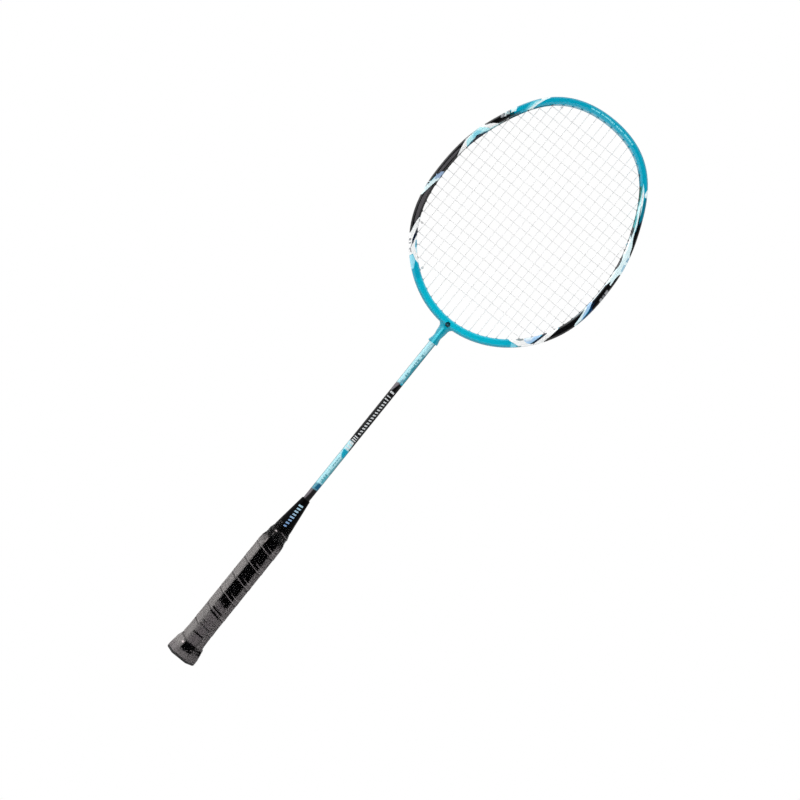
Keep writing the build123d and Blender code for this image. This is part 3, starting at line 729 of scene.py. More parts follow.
def inward_edges(corners, shared, soft):
    """Each edge as (a, b, c), where a * u + b * v + c is the distance inside it."""
    count = len(corners)
    middle_u, middle_v = sum(p[0] for p in corners) / count, sum(p[1] for p in corners) / count
    edges = []
    for k, (u, v) in enumerate(corners):
        next_u, next_v = corners[(k + 1) % count]
        a, b = next_v - v, u - next_u
        size = math.hypot(a, b)
        if size < 1e-9:
            continue
        a, b = a / size, b / size
        c = -(a * u + b * v)
        if a * middle_u + b * middle_v + c < 0:
            a, b, c = -a, -b, -c
        if shared[k]:
            c += soft      # overlaps the next piece, so no line shows between them
        edges.append((a, b, c))
    return edges


class Graph:
    """Short names for the nodes of one material, world or node group."""

    def __init__(self, tree):
        self.tree = tree
        tree.nodes.clear()

    def put(self, socket, value):
        if isinstance(value, Value):
            value = value.socket
        if isinstance(value, bpy.types.NodeSocket):
            self.tree.links.new(value, socket)
        else:
            socket.default_value = value

    def raw_node(self, kind, inputs=None, **settings):
        made = self.tree.nodes.new(kind)
        for key, value in settings.items():
            setattr(made, key, value)
        for key, value in (inputs or {}).items():
            self.put(made.inputs[key], value)
        return made

    def node(self, kind, inputs=None, output=0, **settings):
        """A new node, given as the value of one of its outputs."""
        return Value(self, self.raw_node(kind, inputs, **settings).outputs[output])

    def calc(self, operation, *operands):
        return self.node("ShaderNodeMath", dict(enumerate(operands)), operation=operation)

    def split(self, vector):
        return [Value(self, part) for part in self.raw_node("ShaderNodeSeparateXYZ", {0: vector}).outputs]

    def vector(self, x, y, z):
        return self.node("ShaderNodeCombineXYZ", {0: x, 1: y, 2: z})

    def scaled(self, vector, factor):
        return self.node("ShaderNodeVectorMath", {0: vector, 3: factor}, operation="SCALE")

    def stretch(self, vector, factors):
        return self.node("ShaderNodeVectorMath", {0: vector, 1: factors}, operation="MULTIPLY")

    def place(self):
        """Place in the CAD frame in millimetres."""
        return self.scaled(self.node("ShaderNodeTexCoord", output="Object"), 1000.0)

    def noise(self, vector, scale, detail=3.0, rough=0.55, distortion=0.0):
        return self.node("ShaderNodeTexNoise", {
            "Vector": vector, "Scale": scale, "Detail": detail, "Roughness": rough,
            "Distortion": distortion})

    def cells(self, vector, scale):
        return self.node("ShaderNodeTexVoronoi", {"Vector": vector, "Scale": scale}, output="Distance")

    def mix(self, share, first, second):
        made = self.raw_node("ShaderNodeMix", {"Factor": share}, data_type="RGBA")
        colours = [socket for socket in made.inputs if socket.type == "RGBA"]
        self.put(colours[0], first)
        self.put(colours[1], second)
        return Value(self, [socket for socket in made.outputs if socket.type == "RGBA"][0])

    def mix_shaders(self, share, first, second):
        return self.node("ShaderNodeMixShader", {0: share, 1: first, 2: second})

    def for_camera(self, others, seen):
        """One shader for camera rays and another for all other rays."""
        camera_ray = self.node("ShaderNodeLightPath", output="Is Camera Ray")
        return self.mix_shaders(camera_ray, others, seen)

    def edge_on(self):
        """0 where the surface faces the eye and 1 at its outline."""
        return self.node("ShaderNodeLayerWeight", {0: 0.5}, output="Facing")

    def bump(self, height, strength, distance, normal=None):
        inputs = {"Strength": strength, "Distance": distance, "Height": height}
        if normal is not None:
            inputs["Normal"] = normal
        return self.node("ShaderNodeBump", inputs)

    def area(self, point, corners, soft):
        """1 inside an area of the plane. point is (u, v, 1) and corners are (u, v)."""
        return most(*[self.convex_area(point, inward_edges(piece, shared, soft), soft)
                      for piece, shared in convex_pieces(corners)])

    def convex_area(self, point, edges, soft):
        parts = []
        for first in range(0, len(edges), 6):
            some = edges[first:first + 6]
            some += [(0.0, 0.0, 1000.0)] * (6 - len(some))
            inputs = {"Point": point, "Soft": soft / 2, "Soft low": -soft / 2}
            inputs.update({f"Edge {k}": edge for k, edge in enumerate(some)})
            parts.append(self.node("ShaderNodeGroup", inputs, node_tree=six_edges()))
        return least(*parts)

    def painted(self, colour, point, areas, stretch=1.0):
        """The colour with areas (paint, softness, corners) laid over it in turn."""
        for paint, soft, corners in areas:
            mask = self.area(point, [(u * stretch, v) for u, v in corners], soft)
            colour = self.mix(mask, colour, paint)
        return colour

    def output(self, surface, kind="ShaderNodeOutputMaterial"):
        self.raw_node(kind, {"Surface": surface})

    def principled(self, inputs):
        self.output(self.node("ShaderNodeBsdfPrincipled", inputs))


def six_edges():
    """A node group: how far a point lies inside up to six straight edges, softened."""
    tree = bpy.data.node_groups.get("six_edges")
    if tree:
        return tree
    tree = bpy.data.node_groups.new("six_edges", "ShaderNodeTree")

    def socket(name, in_out, kind):
        tree.interface.new_socket(name=name, in_out=in_out, socket_type=kind)

    edges = [f"Edge {k}" for k in range(6)]
    for name in ["Point"] + edges:
        socket(name, "INPUT", "NodeSocketVector")
    socket("Soft low", "INPUT", "NodeSocketFloat")
    socket("Soft", "INPUT", "NodeSocketFloat")
    socket("Mask", "OUTPUT", "NodeSocketFloat")
    graph = Graph(tree)
    given = graph.raw_node("NodeGroupInput").outputs
    inside = least(*[graph.node("ShaderNodeVectorMath", {0: given["Point"], 1: given[edge]},
                                output="Value", operation="DOT_PRODUCT") for edge in edges])
    mask = graph.node("ShaderNodeMapRange", {0: inside, 1: given["Soft low"], 2: given["Soft"]},
                      interpolation_type="SMOOTHSTEP")
    graph.raw_node("NodeGroupOutput", {0: mask})
    return tree


def rgb(*channels):
    """Screen colour 0 to 255 as linear light."""
    def linear(level):
        return level / 12.92 if level <= 0.04045 else ((level + 0.055) / 1.055) ** 2.4
    return (*[linear(channel / 255) for channel in channels], 1.0)


def new_material(name):
    material = bpy.data.materials.new(name)
    material.use_nodes = True
    return material, Graph(material.node_tree)


# ------------------------------------------------------------- painted finishes
TEAL = rgb(4, 163, 192)
TEAL_DARK = rgb(0, 116, 140)
# teal of the painted highlight towards the throat
TEAL_THROAT_HIGHLIGHT = rgb(8, 190, 214)
PALE = rgb(190, 243, 250)
ICE = rgb(226, 248, 252)
WHITE = rgb(248, 250, 250)
SKY = rgb(168, 205, 240)
NAVY = rgb(8, 24, 48)
BLACK = rgb(10, 10, 12)
SILVER = rgb(150, 152, 156)
# grey of the painted reflection along the middle of the hoop's black areas
REFLECTION_GREY = rgb(84, 82, 85)
SHAFT_PALE = rgb(180, 232, 242)

# Painted areas of the hoop: colour, softness, and corners as angle from the crown in
# degrees and depth below the outer outline in millimetres.
RIGHT_PAINT = (
    # pale band that starts as a point and runs down the middle
    (PALE, 0.5, [(33.2, 5.0), (36, 4.2), (41, 3.9), (41, 7.0), (37, 6.3)]),
    (PALE, 0.5, [(40, 3.9), (47, 3.6), (58, 5.0), (62, 9), (44, 9), (40, 6.5)]),
    (ICE, 0.4, [(57, 4.8), (61, 4.3), (66, 2.2), (71, 0.8), (73, -3), (92, -3), (92, 9), (57, 9)]),
    (ICE, 0.6, [(44, 4.4), (52, 4.0), (58, 4.8), (58, 6.2), (44, 6.4)]),
    # outer edge darkens from teal to black
    (TEAL_DARK, 0.8, [(39, 1.6), (46, -1), (58, -1), (58, 3.6), (48, 3.7), (42, 3.5)]),
    (NAVY, 1.4, [(51, 1.2), (56, -1), (60, -1), (60, 4.2), (54, 3.4)]),
    (BLACK, 0.5, [(53.5, 2.4), (56, -1), (71, -1), (70.6, 1.2), (66, 2.4), (62, 3.9), (58.5, 4.5),
                  (55, 3.6)]),
    # slash at the outer edge
    (ICE, 0.35, [(35.2, -1), (39.6, -1), (40.4, 1.2), (39.8, 3.0), (38.6, 3.4), (37.2, 1.6)]),
    (WHITE, 0.4, [(36.5, 4.1), (44, 4.0), (44, 5.6), (38, 5.5)]),
    (rgb(26, 120, 110), 0.5, [(34, 6.3), (38, 6.6), (44, 7.3), (44, 9), (34, 9)]),
    # inner slivers
    (rgb(70, 170, 175), 0.5, [(47.5, 7.0), (51, 6.1), (58, 5.6), (58, 7.4), (50, 7.8)]),
    (rgb(40, 42, 48), 0.4, [(55, 6.6), (57.5, 5.9), (62.3, 6.3), (58, 7.6), (55, 7.7)]),
    (rgb(36, 38, 42), 0.4, [(71, 7.4), (75, 6.2), (79, 6.1), (82.5, 7.2), (78, 7.9), (74, 8.0)]),
    # marks at the outer edge
    (rgb(150, 190, 212), 0.5, [(71.4, -1), (75.2, -1), (74.8, 2.4), (72.6, 2.0)]),
    (rgb(165, 205, 224), 0.5, [(75.8, -1), (81.4, -1), (80.6, 2.2), (77, 2.6)]),
    (BLACK, 0.4, [(82.2, 0.6), (85, -1), (91.4, -1), (91.4, 2.5), (86, 2.7), (83.5, 1.9)]),
    (rgb(58, 96, 128), 0.5, [(91.2, -1), (93.4, -1), (93.2, 2.9), (91.2, 2.7)]),
    (BLACK, 0.4, [(90.6, 2.2), (90.6, -1), (101.6, -1), (101.6, 4), (90.6, 4)]),
    (SILVER, 0.4, [(93.6, -1), (96.2, -1), (96.2, 2.7), (93.6, 2.9)]),
    (rgb(120, 122, 128), 0.4, [(96.8, -1), (98.6, -1), (98.4, 2.6), (96.8, 2.7)]),
    (SILVER, 0.4, [(99, -1), (101, -1), (100.9, 2.4), (99, 2.6)]),
    # long black area and what borders it
    (BLACK, 0.5, [(88.5, 4.6), (92, 3.3), (101, 2.9), (101, 6.8), (93, 6.8), (90.5, 5.8)]),
    (BLACK, 0.4, [(100.6, 2.5), (101.4, -1), (109, -1), (109, 1.6), (106.8, 4.6), (104.3, 6.8),
                  (100.6, 6.8)]),
    (rgb(10, 52, 92), 0.8, [(106.5, -1), (113.6, -1), (113.4, 1.2), (109, 2.6), (106.6, 3.6)]),
    (SKY, 0.5, [(103.8, 7.4), (104.6, 6.2), (107.6, 4.0), (110.2, 2.8), (113.7, 1.4),
                (116.4, 1.6), (111, 5.0), (108.6, 7.8)]),
    (ICE, 0.5, [(106.6, 8.8), (109.4, 5.8), (114.2, 2.6), (114.6, -1), (119.6, -1),
                (118.4, 2.0), (112.8, 5.2), (110.0, 8.8)]),
    (rgb(60, 84, 104), 0.5, [(113.6, -1), (118.4, -1), (117.8, 0.9), (113.7, 1.2)]),
    (BLACK, 0.35, [(109.8, 7.2), (113.0, 5.2), (118.2, 2.2), (119.6, -1), (136.4, -1),
                   (135.4, 0.9), (131, 4.0), (127.6, 6.6), (125.5, 7.4)]),
    (WHITE, 0.35, [(109.2, 7.2), (125.5, 7.4), (127.6, 9.5), (109, 9.5)]),
    (WHITE, 0.35, [(126.6, 7.6), (127.6, 6.6), (131, 4.0), (135.4, 0.9), (136.4, -1), (141, -1),
                   (140.8, 0.6), (135.2, 5.6), (132.6, 9), (126.6, 9)]),
    (NAVY, 0.35, [(132.2, 7.9), (135.0, 5.5), (140.4, 0.6), (141.7, 1.1), (140.4, 2.6),
                  (136.4, 6.1), (134.2, 8.0)]),
    (SKY, 0.6, [(135.4, 8.6), (137.2, 5.8), (141.6, 1.9), (143.0, 2.4), (144.6, 5.6),
                (144.2, 8.6)]),
    (rgb(216, 234, 248), 0.9, [(139.4, 8.6), (141.0, 5.0), (143.4, 4.0), (144.6, 8.6)]),
    (WHITE, 0.4, [(140.6, -1), (145.4, -1), (147.4, 1.6), (150.8, 6.0), (152.6, 9), (144.2, 9),
                  (144.4, 5.4), (142.8, 2.2), (141.2, 0.8)]),
    (rgb(120, 160, 168), 0.5, [(145.2, -1), (147.4, -1), (147.2, 1.0), (145.6, 1.1)]),
    (rgb(128, 140, 144), 0.5, [(144.4, 6.2), (146.4, 5.8), (148.4, 7.0), (148.0, 7.8), (145.0, 7.4)]),
    (rgb(120, 205, 226), 0.9, [(147.2, -1), (150.4, -1), (150.4, 4.4), (148.4, 2.8)]),
    (WHITE, 0.3, [(61.8, 6.0), (71.0, 6.4), (71.0, 9.5), (62.4, 9.5)]),
    (WHITE, 0.35, [(83, 6.9), (104.6, 6.9), (107, 9.5), (83, 9.5)]),
)
LEFT_PAINT = (
    (ICE, 0.35, [(30.4, -1), (33.2, -1), (34.2, 2.4), (37.6, 5.2), (41.6, 8.2), (41.6, 9),
                 (39.6, 9), (36.0, 5.9), (31.8, 2.0)]),
    (PALE, 1.6, [(33.6, 1.8), (36.8, 1.8), (40.4, 6.8), (40.8, 7.8), (37.8, 5.4), (34.4, 2.6)]),
    (rgb(96, 205, 224), 2.0, [(36.0, 1.6), (38.6, 2.0), (41.4, 6.0), (41.0, 7.8), (38.0, 4.6)]),
    # painted shadow: a dark line along the inner edge beside the slash
    (rgb(30, 80, 88), 0.5, [(32.5, 7.6), (36.6, 7.2), (39.8, 8.6), (39.0, 9), (33, 9)]),
    # slanted marks on a darkening ground
    (TEAL_DARK, 0.9, [(44.4, 5.6), (49, 4.4), (49, 9), (44.4, 9)]),
    (rgb(0, 74, 84), 0.9, [(47.6, 3.0), (56.4, -1), (58.8, 9), (48, 9)]),
    (rgb(16, 30, 36), 0.8, [(49.8, 4.6), (55.4, -1), (59.0, 5.2), (57.6, 7.0), (50.2, 7.2)]),
    (BLACK, 0.4, [(55.2, 3.0), (55.8, -1), (66.0, -1), (65.3, 1.0), (61, 3.4), (58.6, 5.5),
                  (57.4, 7.2), (52, 7.2), (52, 5.2)]),
    (ICE, 0.35, [(45.8, 1.1), (48.8, 0.8), (49.4, 3.4), (46.6, 3.9)]),
    (SILVER, 0.35, [(49.4, 0.7), (50.6, 0.6), (51.8, 3.6), (50.4, 3.8)]),
    (rgb(206, 214, 216), 0.35, [(51.2, 0.6), (52.3, 0.6), (53.4, 3.9), (52.2, 4.0)]),
    (SILVER, 0.35, [(53.0, 1.6), (54.6, 0.9), (55.4, 3.2), (53.8, 3.8)]),
    (rgb(170, 196, 198), 0.35, [(49.6, 3.4), (50.6, 2.0), (52.6, 1.4), (51.0, 3.4)]),
    # pale area below them
    (WHITE, 0.35, [(57.4, 7.2), (58.6, 5.5), (61, 3.4), (65.3, 1.0), (66.0, -1), (69, -1),
                   (66.8, 2.2), (64, 4.8), (61, 9.5), (50, 9.5), (51, 7.3)]),
    (PALE, 1.0, [(62.8, 6.8), (66.4, 1.8), (69, -1), (77, -1), (78.4, 2.2), (80, 5.6), (78, 7.4),
                 (64, 7.4)]),
    (rgb(136, 214, 232), 1.6, [(67.4, 4.8), (69.8, 1.4), (72.2, 1.6), (74.4, 5.0), (71, 6)]),
    (rgb(34, 96, 116), 0.5, [(63.6, 7.5), (67, 6.2), (76, 6.2), (79.6, 7.5), (71, 8)]),
    (NAVY, 0.4, [(66.6, 7.9), (69.4, 5.7), (71.4, 5.0), (73.4, 6.2), (76.2, 7.9)]),
    (WHITE, 0.4, [(76.2, 0), (77.2, -1), (77.4, 0.9), (80.2, 3.0), (83.2, 4.3), (85.6, 6.0),
                  (87.6, 7.4), (87.6, 9.5), (79.6, 9.5), (79.4, 6.0), (77.6, 2.4)]),
    (WHITE, 0.4, [(76, 7.6), (88, 7.6), (88, 9.5), (76, 9.5)]),
    # two long black areas with grey middles, a painted reflection of the light on the front face, and pale
    # ones between and after
    (BLACK, 0.35, [(76.9, 0.6), (77.4, -1), (109.4, -1), (109.0, 1.7), (104, 3.2), (101.2, 5.2),
                   (99.6, 7.4), (87.8, 7.4), (85.6, 6.0), (83.2, 4.3), (80.2, 3.0), (77.5, 1.0)]),
    (REFLECTION_GREY, 0.6, [(83.0, 3.4), (90, 3.0), (102.2, 3.0), (100.6, 5.4), (88, 5.5), (84.6, 4.8)]),
    (rgb(152, 178, 212), 0.7, [(99.0, 8.0), (100.4, 5.4), (103.2, 3.8), (107.2, 2.8),
                               (105.8, 5.0), (104.6, 8.4)]),
    (ICE, 0.4, [(102.8, 9.2), (104.6, 6.0), (107.2, 3.2), (109.4, 1.8), (110.2, -1), (116.4, -1),
                (115.4, 1.6), (112.8, 3.4), (109.8, 5.2), (105.8, 7.2), (104.6, 9.2)]),
    (rgb(120, 128, 134), 0.5, [(109.4, -1), (112.6, -1), (112.0, 1.1), (109.2, 1.4)]),
    (BLACK, 0.35, [(104.6, 7.9), (105.8, 7.1), (109.8, 5.0), (112.8, 3.3), (115.3, 1.4),
                   (116.4, -1), (136.0, -1), (134.6, 1.4), (130, 4.6), (126.6, 7.6), (124.8, 8.3)]),
    (REFLECTION_GREY, 0.6, [(109.6, 5.7), (113.2, 3.6), (116.6, 2.9), (129.4, 3.2), (130.2, 4.0),
                 (127.4, 6.2), (120, 6.5), (111, 6.3)]),
    (WHITE, 0.35, [(125.4, 8.6), (126.7, 7.6), (130.1, 4.6), (134.7, 1.4), (136.1, -1), (145, -1),
                   (144.6, 3.6), (147.4, 5.2), (149.6, 7.6), (150.2, 9.5), (125.4, 9.5)]),
    (NAVY, 0.35, [(130.2, 8.8), (133.8, 6.3), (138.2, 3.3), (139.9, 3.3), (140.0, 4.3),
                  (137.0, 6.4), (134.6, 8.6), (133, 9.4)]),
    (rgb(96, 180, 206), 0.5, [(136.6, 9.2), (138.8, 6.7), (141.8, 5.9), (142.6, 7.0), (142.0, 9.2)]),
    (rgb(196, 232, 242), 0.6, [(142.0, 6.2), (144.6, 7.0), (145.4, 8.6), (142.2, 8.8)]),
    (rgb(70, 74, 82), 0.4, [(142.4, 7.9), (145.0, 7.6), (146.6, 8.8), (143.4, 9.4)]),
    (rgb(120, 122, 126), 0.35, [(137.2, 1.2), (138.2, 1.0), (138.3, 2.0), (137.3, 2.1)]),
    (rgb(120, 122, 126), 0.35, [(139.0, 1.2), (139.6, 1.0), (139.7, 2.0), (139.1, 2.1)]),
    (rgb(112, 112, 118), 0.35, [(141.8, 1.3), (143.8, 1.3), (143.6, 2.1), (142.0, 2.1)]),
    (rgb(150, 222, 240), 0.8, [(144.8, -1), (151.4, -1), (151.0, 2.4), (148.0, 5.1), (145.0, 3.4)]),
    (TEAL, 0.4, [(147.6, 5.4), (150.8, 2.4), (152.6, -1), (156, -1), (156, 9.5), (152.0, 9.5),
                 (150.4, 7.4)]),
)
RIM_PER_DEGREE = 2.0       # a degree is about this many millimetres of rim


def hoop_paint():
    material, graph = new_material("hoop_paint")
    place = graph.place()
    x, y, z = graph.split(place)
    up = z - HEAD_CENTRE_Z
    angle = graph.calc("ARCTAN2", x, up)
    radius = graph.calc("SQRT", x * x + up * up)
    outline = OUTLINE[0]
    for j, c in enumerate(OUTLINE[1:], 1):
        outline = graph.calc("COSINE", angle * j).times_plus(c, outline)
    depth = outline - radius
    degrees = angle * (180 / math.pi)
    # depth is limited, so the rim's edges and sides carry on the paint next to them
    right = graph.vector(degrees * RIM_PER_DEGREE, least(most(depth, 0.9), 7.2), 1.0)
    left = graph.vector(degrees * -RIM_PER_DEGREE, least(most(depth, 1.2), 7.2), 1.0)
    # painted highlight, brighter towards the throat, and painted shade at the outer edge
    colour = graph.mix(abs(degrees).rise(138.0, 166.0) * 0.75, TEAL, TEAL_THROAT_HIGHLIGHT)
    colour = graph.mix(depth.rise(2.6, 0.4) * 0.55, colour, TEAL_DARK)
    colour = graph.painted(colour, right, RIGHT_PAINT, RIM_PER_DEGREE)
    colour = graph.painted(colour, left, LEFT_PAINT, RIM_PER_DEGREE)

    # small dashes either side of the crown, on both faces
    row = graph.noise(graph.vector(degrees * 1.45, 0.0, 0.0), scale=1.0, detail=1.0, rough=0.5)

    def dashes(threshold, outer, inner, spans):
        band = depth.window(outer, inner, 0.4)
        along = most(*[degrees.window(low, high, 0.2) for low, high in spans])
        return row.rise(threshold, threshold + 0.05) * (band * along)

    both = most(dashes(0.42, 3.55, 5.0, ((-0.2, 2.2), (3.0, 7.7), (8.5, 14.6))),
                dashes(0.40, 3.2, 4.5, ((-5.2, -0.2), (-10.6, -6.0))))
    flat_face = abs(y) > 4.2
    colour = graph.mix(both * flat_face * 0.85, colour, rgb(140, 232, 244))

    # pale streak down the front of the sleeve
    streak = (x + (z - 405.0) * 0.02).window(-1.9, 0.0, 0.9) * (z.rise(413.0, 409.5) * (y < 0.0))
    colour = graph.mix(streak * 0.75, colour, rgb(92, 226, 244))

    # dark hexagon with a lighter dot at the throat
    off_x, off_z = abs(x - 0.5), abs(z - 416.0)
    hexagon = most(off_x * 0.87 + off_z * 0.5, off_z)
    colour = graph.mix(hexagon.rise(2.75, 2.35) * flat_face, colour, rgb(4, 52, 64))
    dot = graph.calc("SQRT", off_x * off_x + off_z * off_z).rise(0.75, 0.45)
    colour = graph.mix(dot * flat_face * 0.8, colour, rgb(24, 120, 134))

    # slightly uneven depth of colour, and painted shade where the surface turns away from the eye
    fine = graph.noise(place, scale=1.6, detail=2.0)
    flake = graph.noise(place, scale=9.0, detail=2.0, rough=0.7)
    shade = flake.times_plus(0.06, fine.times_plus(0.16, 0.92) - 0.03)
    shade = shade * graph.edge_on().rise(0.35, 0.95).times_plus(-0.45, 1.0)
    graph.principled({
        "Base Color": graph.scaled(colour, shade),
        "Roughness": fine.times_plus(0.10, 0.16),
        "Specular IOR Level": 0.12,
        "Coat Weight": 0.55,
        "Coat Roughness": fine.times_plus(0.04, 0.03),
        "Normal": graph.bump(graph.noise(place, scale=0.55, detail=2.0), strength=0.05, distance=0.0002),
    })
    return material


# Painted areas of the shaft: colour, softness, and corners in x and z.
SHAFT_PAINT = (
    (rgb(112, 106, 112), 1.4, [(-6, 196), (-1.8, 196), (-1.0, 203), (-1.0, 210), (-6, 210)]),
    (rgb(96, 160, 178), 2.0, [(-6, 207.5), (6, 209.5), (6, 218), (-6, 218)]),
    (rgb(6, 92, 128), 1.6, [(-0.9, 209.6), (6, 209.6), (6, 215.6), (-0.3, 216.2)]),
    (SHAFT_PALE, 2.2, [(-6, 214), (-0.6, 216), (6, 217.5), (6, 250), (2, 259), (-6, 259)]),
    (rgb(92, 176, 192), 1.4, [(0.3, 217.5), (6, 217), (6, 228), (0.6, 227)]),
    (rgb(98, 166, 178), 1.2, [(1.2, 228), (6, 228), (6, 250), (1.6, 250)]),
    (TEAL, 1.4, [(-2.6, 257.0), (-1.8, 258.0), (6, 258), (6, 249.4), (0.8, 249.6), (-1.4, 252.6)]),
    (SHAFT_PALE, 1.2, [(-6, 258.4), (3.2, 258.4), (3.2, 268), (-6, 270.5)]),
    (BLACK, 0.9, [(-6, 271.5), (-2.6, 268.2), (2.0, 268.0), (2.4, 258.8), (6, 258.4), (6, 341),
                  (-0.2, 341), (-2.2, 333), (-6, 334)]),
    (rgb(120, 112, 118), 1.6, [(-6, 332), (-2.4, 331.5), (0.4, 341), (-0.4, 345), (-6, 345)]),
    (SHAFT_PALE, 2.2, [(-6, 341), (-1.2, 342.2), (1.0, 343.4), (6, 343.4), (6, 393.5), (-6, 396)]),
    (rgb(60, 150, 168), 1.4, [(1.1, 344), (6, 343), (6, 380), (1.7, 378), (1.4, 360)]),
    (rgb(100, 168, 184), 1.6, [(1.9, 378), (6, 378), (6, 393.5), (2.1, 393)]),
    (rgb(120, 176, 196), 1.0, [(-0.9, 342.0), (1.4, 341.4), (1.4, 347.0), (-0.6, 346.6)]),
)
# white bands across the black part, as low and high z
SHAFT_BANDS = (
    (259.0, 260.4), (262.0, 263.6), (265.4, 267.8), (269.2, 270.4), (271.6, 272.6),
    (273.8, 274.8), (320.8, 321.9), (324.4, 325.3), (329.0, 330.9),
)
# all white marks: the bands, then a run of 13 slanted dashes
SHAFT_WHITE = [[(-2.1, low), (2.1, low), (2.1, high), (-2.1, high)] for low, high in SHAFT_BANDS] + [
    [(-0.8, 277.2 + 3.3 * k), (1.8, 278.0 + 3.3 * k), (1.8, 279.5 + 3.3 * k), (-0.8, 278.7 + 3.3 * k)]
    for k in range(13)]
# teal and faint marks on the pale parts: left, right, low, high
SHAFT_TEAL = (
    (-0.7, 0.4, 237.2, 239.4), (-0.7, 0.4, 240.2, 242.6), (-0.7, 0.4, 243.4, 245.6),
    (-0.7, 0.3, 246.4, 248.2), (-0.8, 1.4, 225.6, 227.2), (-0.8, 1.2, 220.0, 221.0),
    (-0.7, 1.3, 223.0, 224.2), (-1.4, 1.4, 232.8, 233.4), (-0.7, 1.3, 350.6, 352.2),
    (-0.7, 1.3, 353.2, 355.0), (-0.7, 1.2, 363.8, 365.4), (-0.6, 1.3, 366.4, 368.2),
    (-0.7, 1.3, 369.2, 371.8), (-0.3, 1.5, 375.6, 378.0),
)
SHAFT_FAINT = ((-0.7, 0.9, 379.4, 381.0), (-0.7, 0.6, 383.6, 385.2), (-0.4, 0.8, 387.0, 388.0))


def shaft_paint():
    material, graph = new_material("shaft_lacquer")
    place = graph.place()
    x, y, z = graph.split(place)
    point = graph.vector(x, z, 1.0)
    colour = graph.painted(graph.mix(z.rise(300.0, 302.0), BLACK, TEAL), point, SHAFT_PAINT)
    for corners in SHAFT_WHITE:
        colour = graph.mix(graph.area(point, corners, 0.3) * 0.88, colour, rgb(226, 230, 232))
    for marks, paint, share in ((SHAFT_TEAL, rgb(24, 128, 142), 0.75),
                                (SHAFT_FAINT, rgb(130, 200, 212), 0.6)):
        for left, right, low, high in marks:
            mask = x.window(left, right, 0.25) * z.window(low, high, 0.25)
            colour = graph.mix(mask * share, colour, paint)
    fine = graph.noise(graph.stretch(place, (1.0, 1.0, 0.25)), scale=1.4)
    ripple = graph.noise(graph.stretch(place, (1.0, 1.0, 0.2)), scale=0.7, detail=2.0)
    # painted shade, darker towards the shaft's outline
    edge = graph.edge_on().rise(0.22, 0.80).times_plus(-0.80, 1.0)
    graph.principled({
        "Base Color": graph.scaled(colour, fine.times_plus(0.14, 0.86) * edge),
        "Roughness": fine.times_plus(0.10, 0.16),
        "Specular IOR Level": 0.06,
        "Coat Weight": 0.16,
        "Coat Roughness": fine.times_plus(0.05, 0.05),
        "Normal": graph.bump(ripple, strength=0.06, distance=0.0002),
    })
    return material


# marks on the cone: left x, right x, z of the lower left corner, rise to the right, height
CONE_MARKS = (
    (-2.2, 2.4, 186.4, 0.6, 1.7), (-1.6, 2.4, 183.0, 0.6, 1.6), (-1.8, 2.0, 179.6, 0.6, 1.7),
    (-1.4, 2.2, 176.2, 0.6, 1.6), (-1.8, 2.4, 172.8, 0.6, 1.7), (-1.2, 2.2, 169.4, 0.6, 1.6),
    (-1.6, 2.0, 166.0, 0.6, 1.7), (-1.4, 1.6, 162.4, 0.6, 1.7),
)


def cone_paint():
    material, graph = new_material("cone_plastic_gloss")
    place = graph.place()
    x, y, z = graph.split(place)
    point = graph.vector(x, z, 1.0)
    colour = rgb(6, 6, 7)
    for left, right, low, rise, height in CONE_MARKS:
        corners = [(left, low), (right, low + rise), (right, low + rise + height), (left, low + height)]
        # a little blue, paler towards the top
        mark = graph.mix(z.rise(162.0, 186.0), rgb(122, 158, 205), rgb(172, 208, 226))
        colour = graph.mix(graph.area(point, corners, 0.35) * 0.9, colour, mark)
    fine = graph.noise(place, scale=0.9, detail=4.0)
    graph.principled({
        "Base Color": colour,
        "Roughness": fine.times_plus(0.10, 0.14),
        "Specular IOR Level": 0.018,
        "Normal": graph.bump(graph.noise(place, scale=0.5, detail=2.0), strength=0.05, distance=0.0002),
    })
    return material


# --------------------------------------------------------------- plain finishes
def plain(name, colour, other, rough, scale, bump=0.15, distance=0.0002, span=0.2,
          metal=0.0, specular=0.5, stretch=(1, 1, 1)):
    """Two tones in a grain, shine uneven by span round rough, and a fine bump."""
    material, graph = new_material(name)
    place = graph.place()
    grain = graph.noise(graph.stretch(place, stretch), scale, detail=5.0, rough=0.6)
    speck = graph.cells(place, scale * 2.3)
    graph.principled({
        "Base Color": graph.mix(grain.rise(0.35, 0.68), colour, other),
        "Roughness": grain.times_plus(span, rough - span / 2),
        "Metallic": metal,
        "Specular IOR Level": specular,
        "Normal": graph.bump(grain + speck * 0.4, bump, distance),
    })
    return material


def string_finish():
    material, graph = new_material("string_nylon_white")
    strands = graph.noise(graph.stretch(graph.place(), (1.0, 1.0, 1.0)), scale=2.6)
    graph.principled({
        "Base Color": graph.mix(strands, rgb(224, 225, 226), rgb(238, 238, 238)),
        "Roughness": strands.times_plus(0.25, 0.28),
        "Coat Weight": 0.3,
        "Normal": graph.bump(strands, strength=0.25, distance=0.0001),
    })
    return material


def grip_finish():
    material, graph = new_material("grip_pu_black")
    place = graph.place()
    grain = graph.noise(place, scale=1.3, detail=6.0, rough=0.62)
    pores = graph.cells(place, scale=0.9)
    crease = graph.noise(graph.stretch(place, (0.6, 0.6, 1.6)), scale=0.35, detail=4.0, rough=0.6,
                         distortion=0.6)
    colour = graph.mix(grain.rise(0.36, 0.70), rgb(4, 4, 5), rgb(11, 10, 11))
    colour = graph.mix(crease.rise(0.58, 0.74) * 0.30, colour, rgb(24, 22, 24))
    fine_bump = graph.bump(grain + pores.rise(0.0, 0.5) * 0.7, strength=0.35, distance=0.0003)
    graph.principled({
        "Base Color": colour,
        "Roughness": grain.times_plus(0.22, 0.42),
        "Specular IOR Level": 0.0,
        "Normal": graph.bump(crease, strength=0.25, distance=0.0006, normal=fine_bump),
    })
    return material


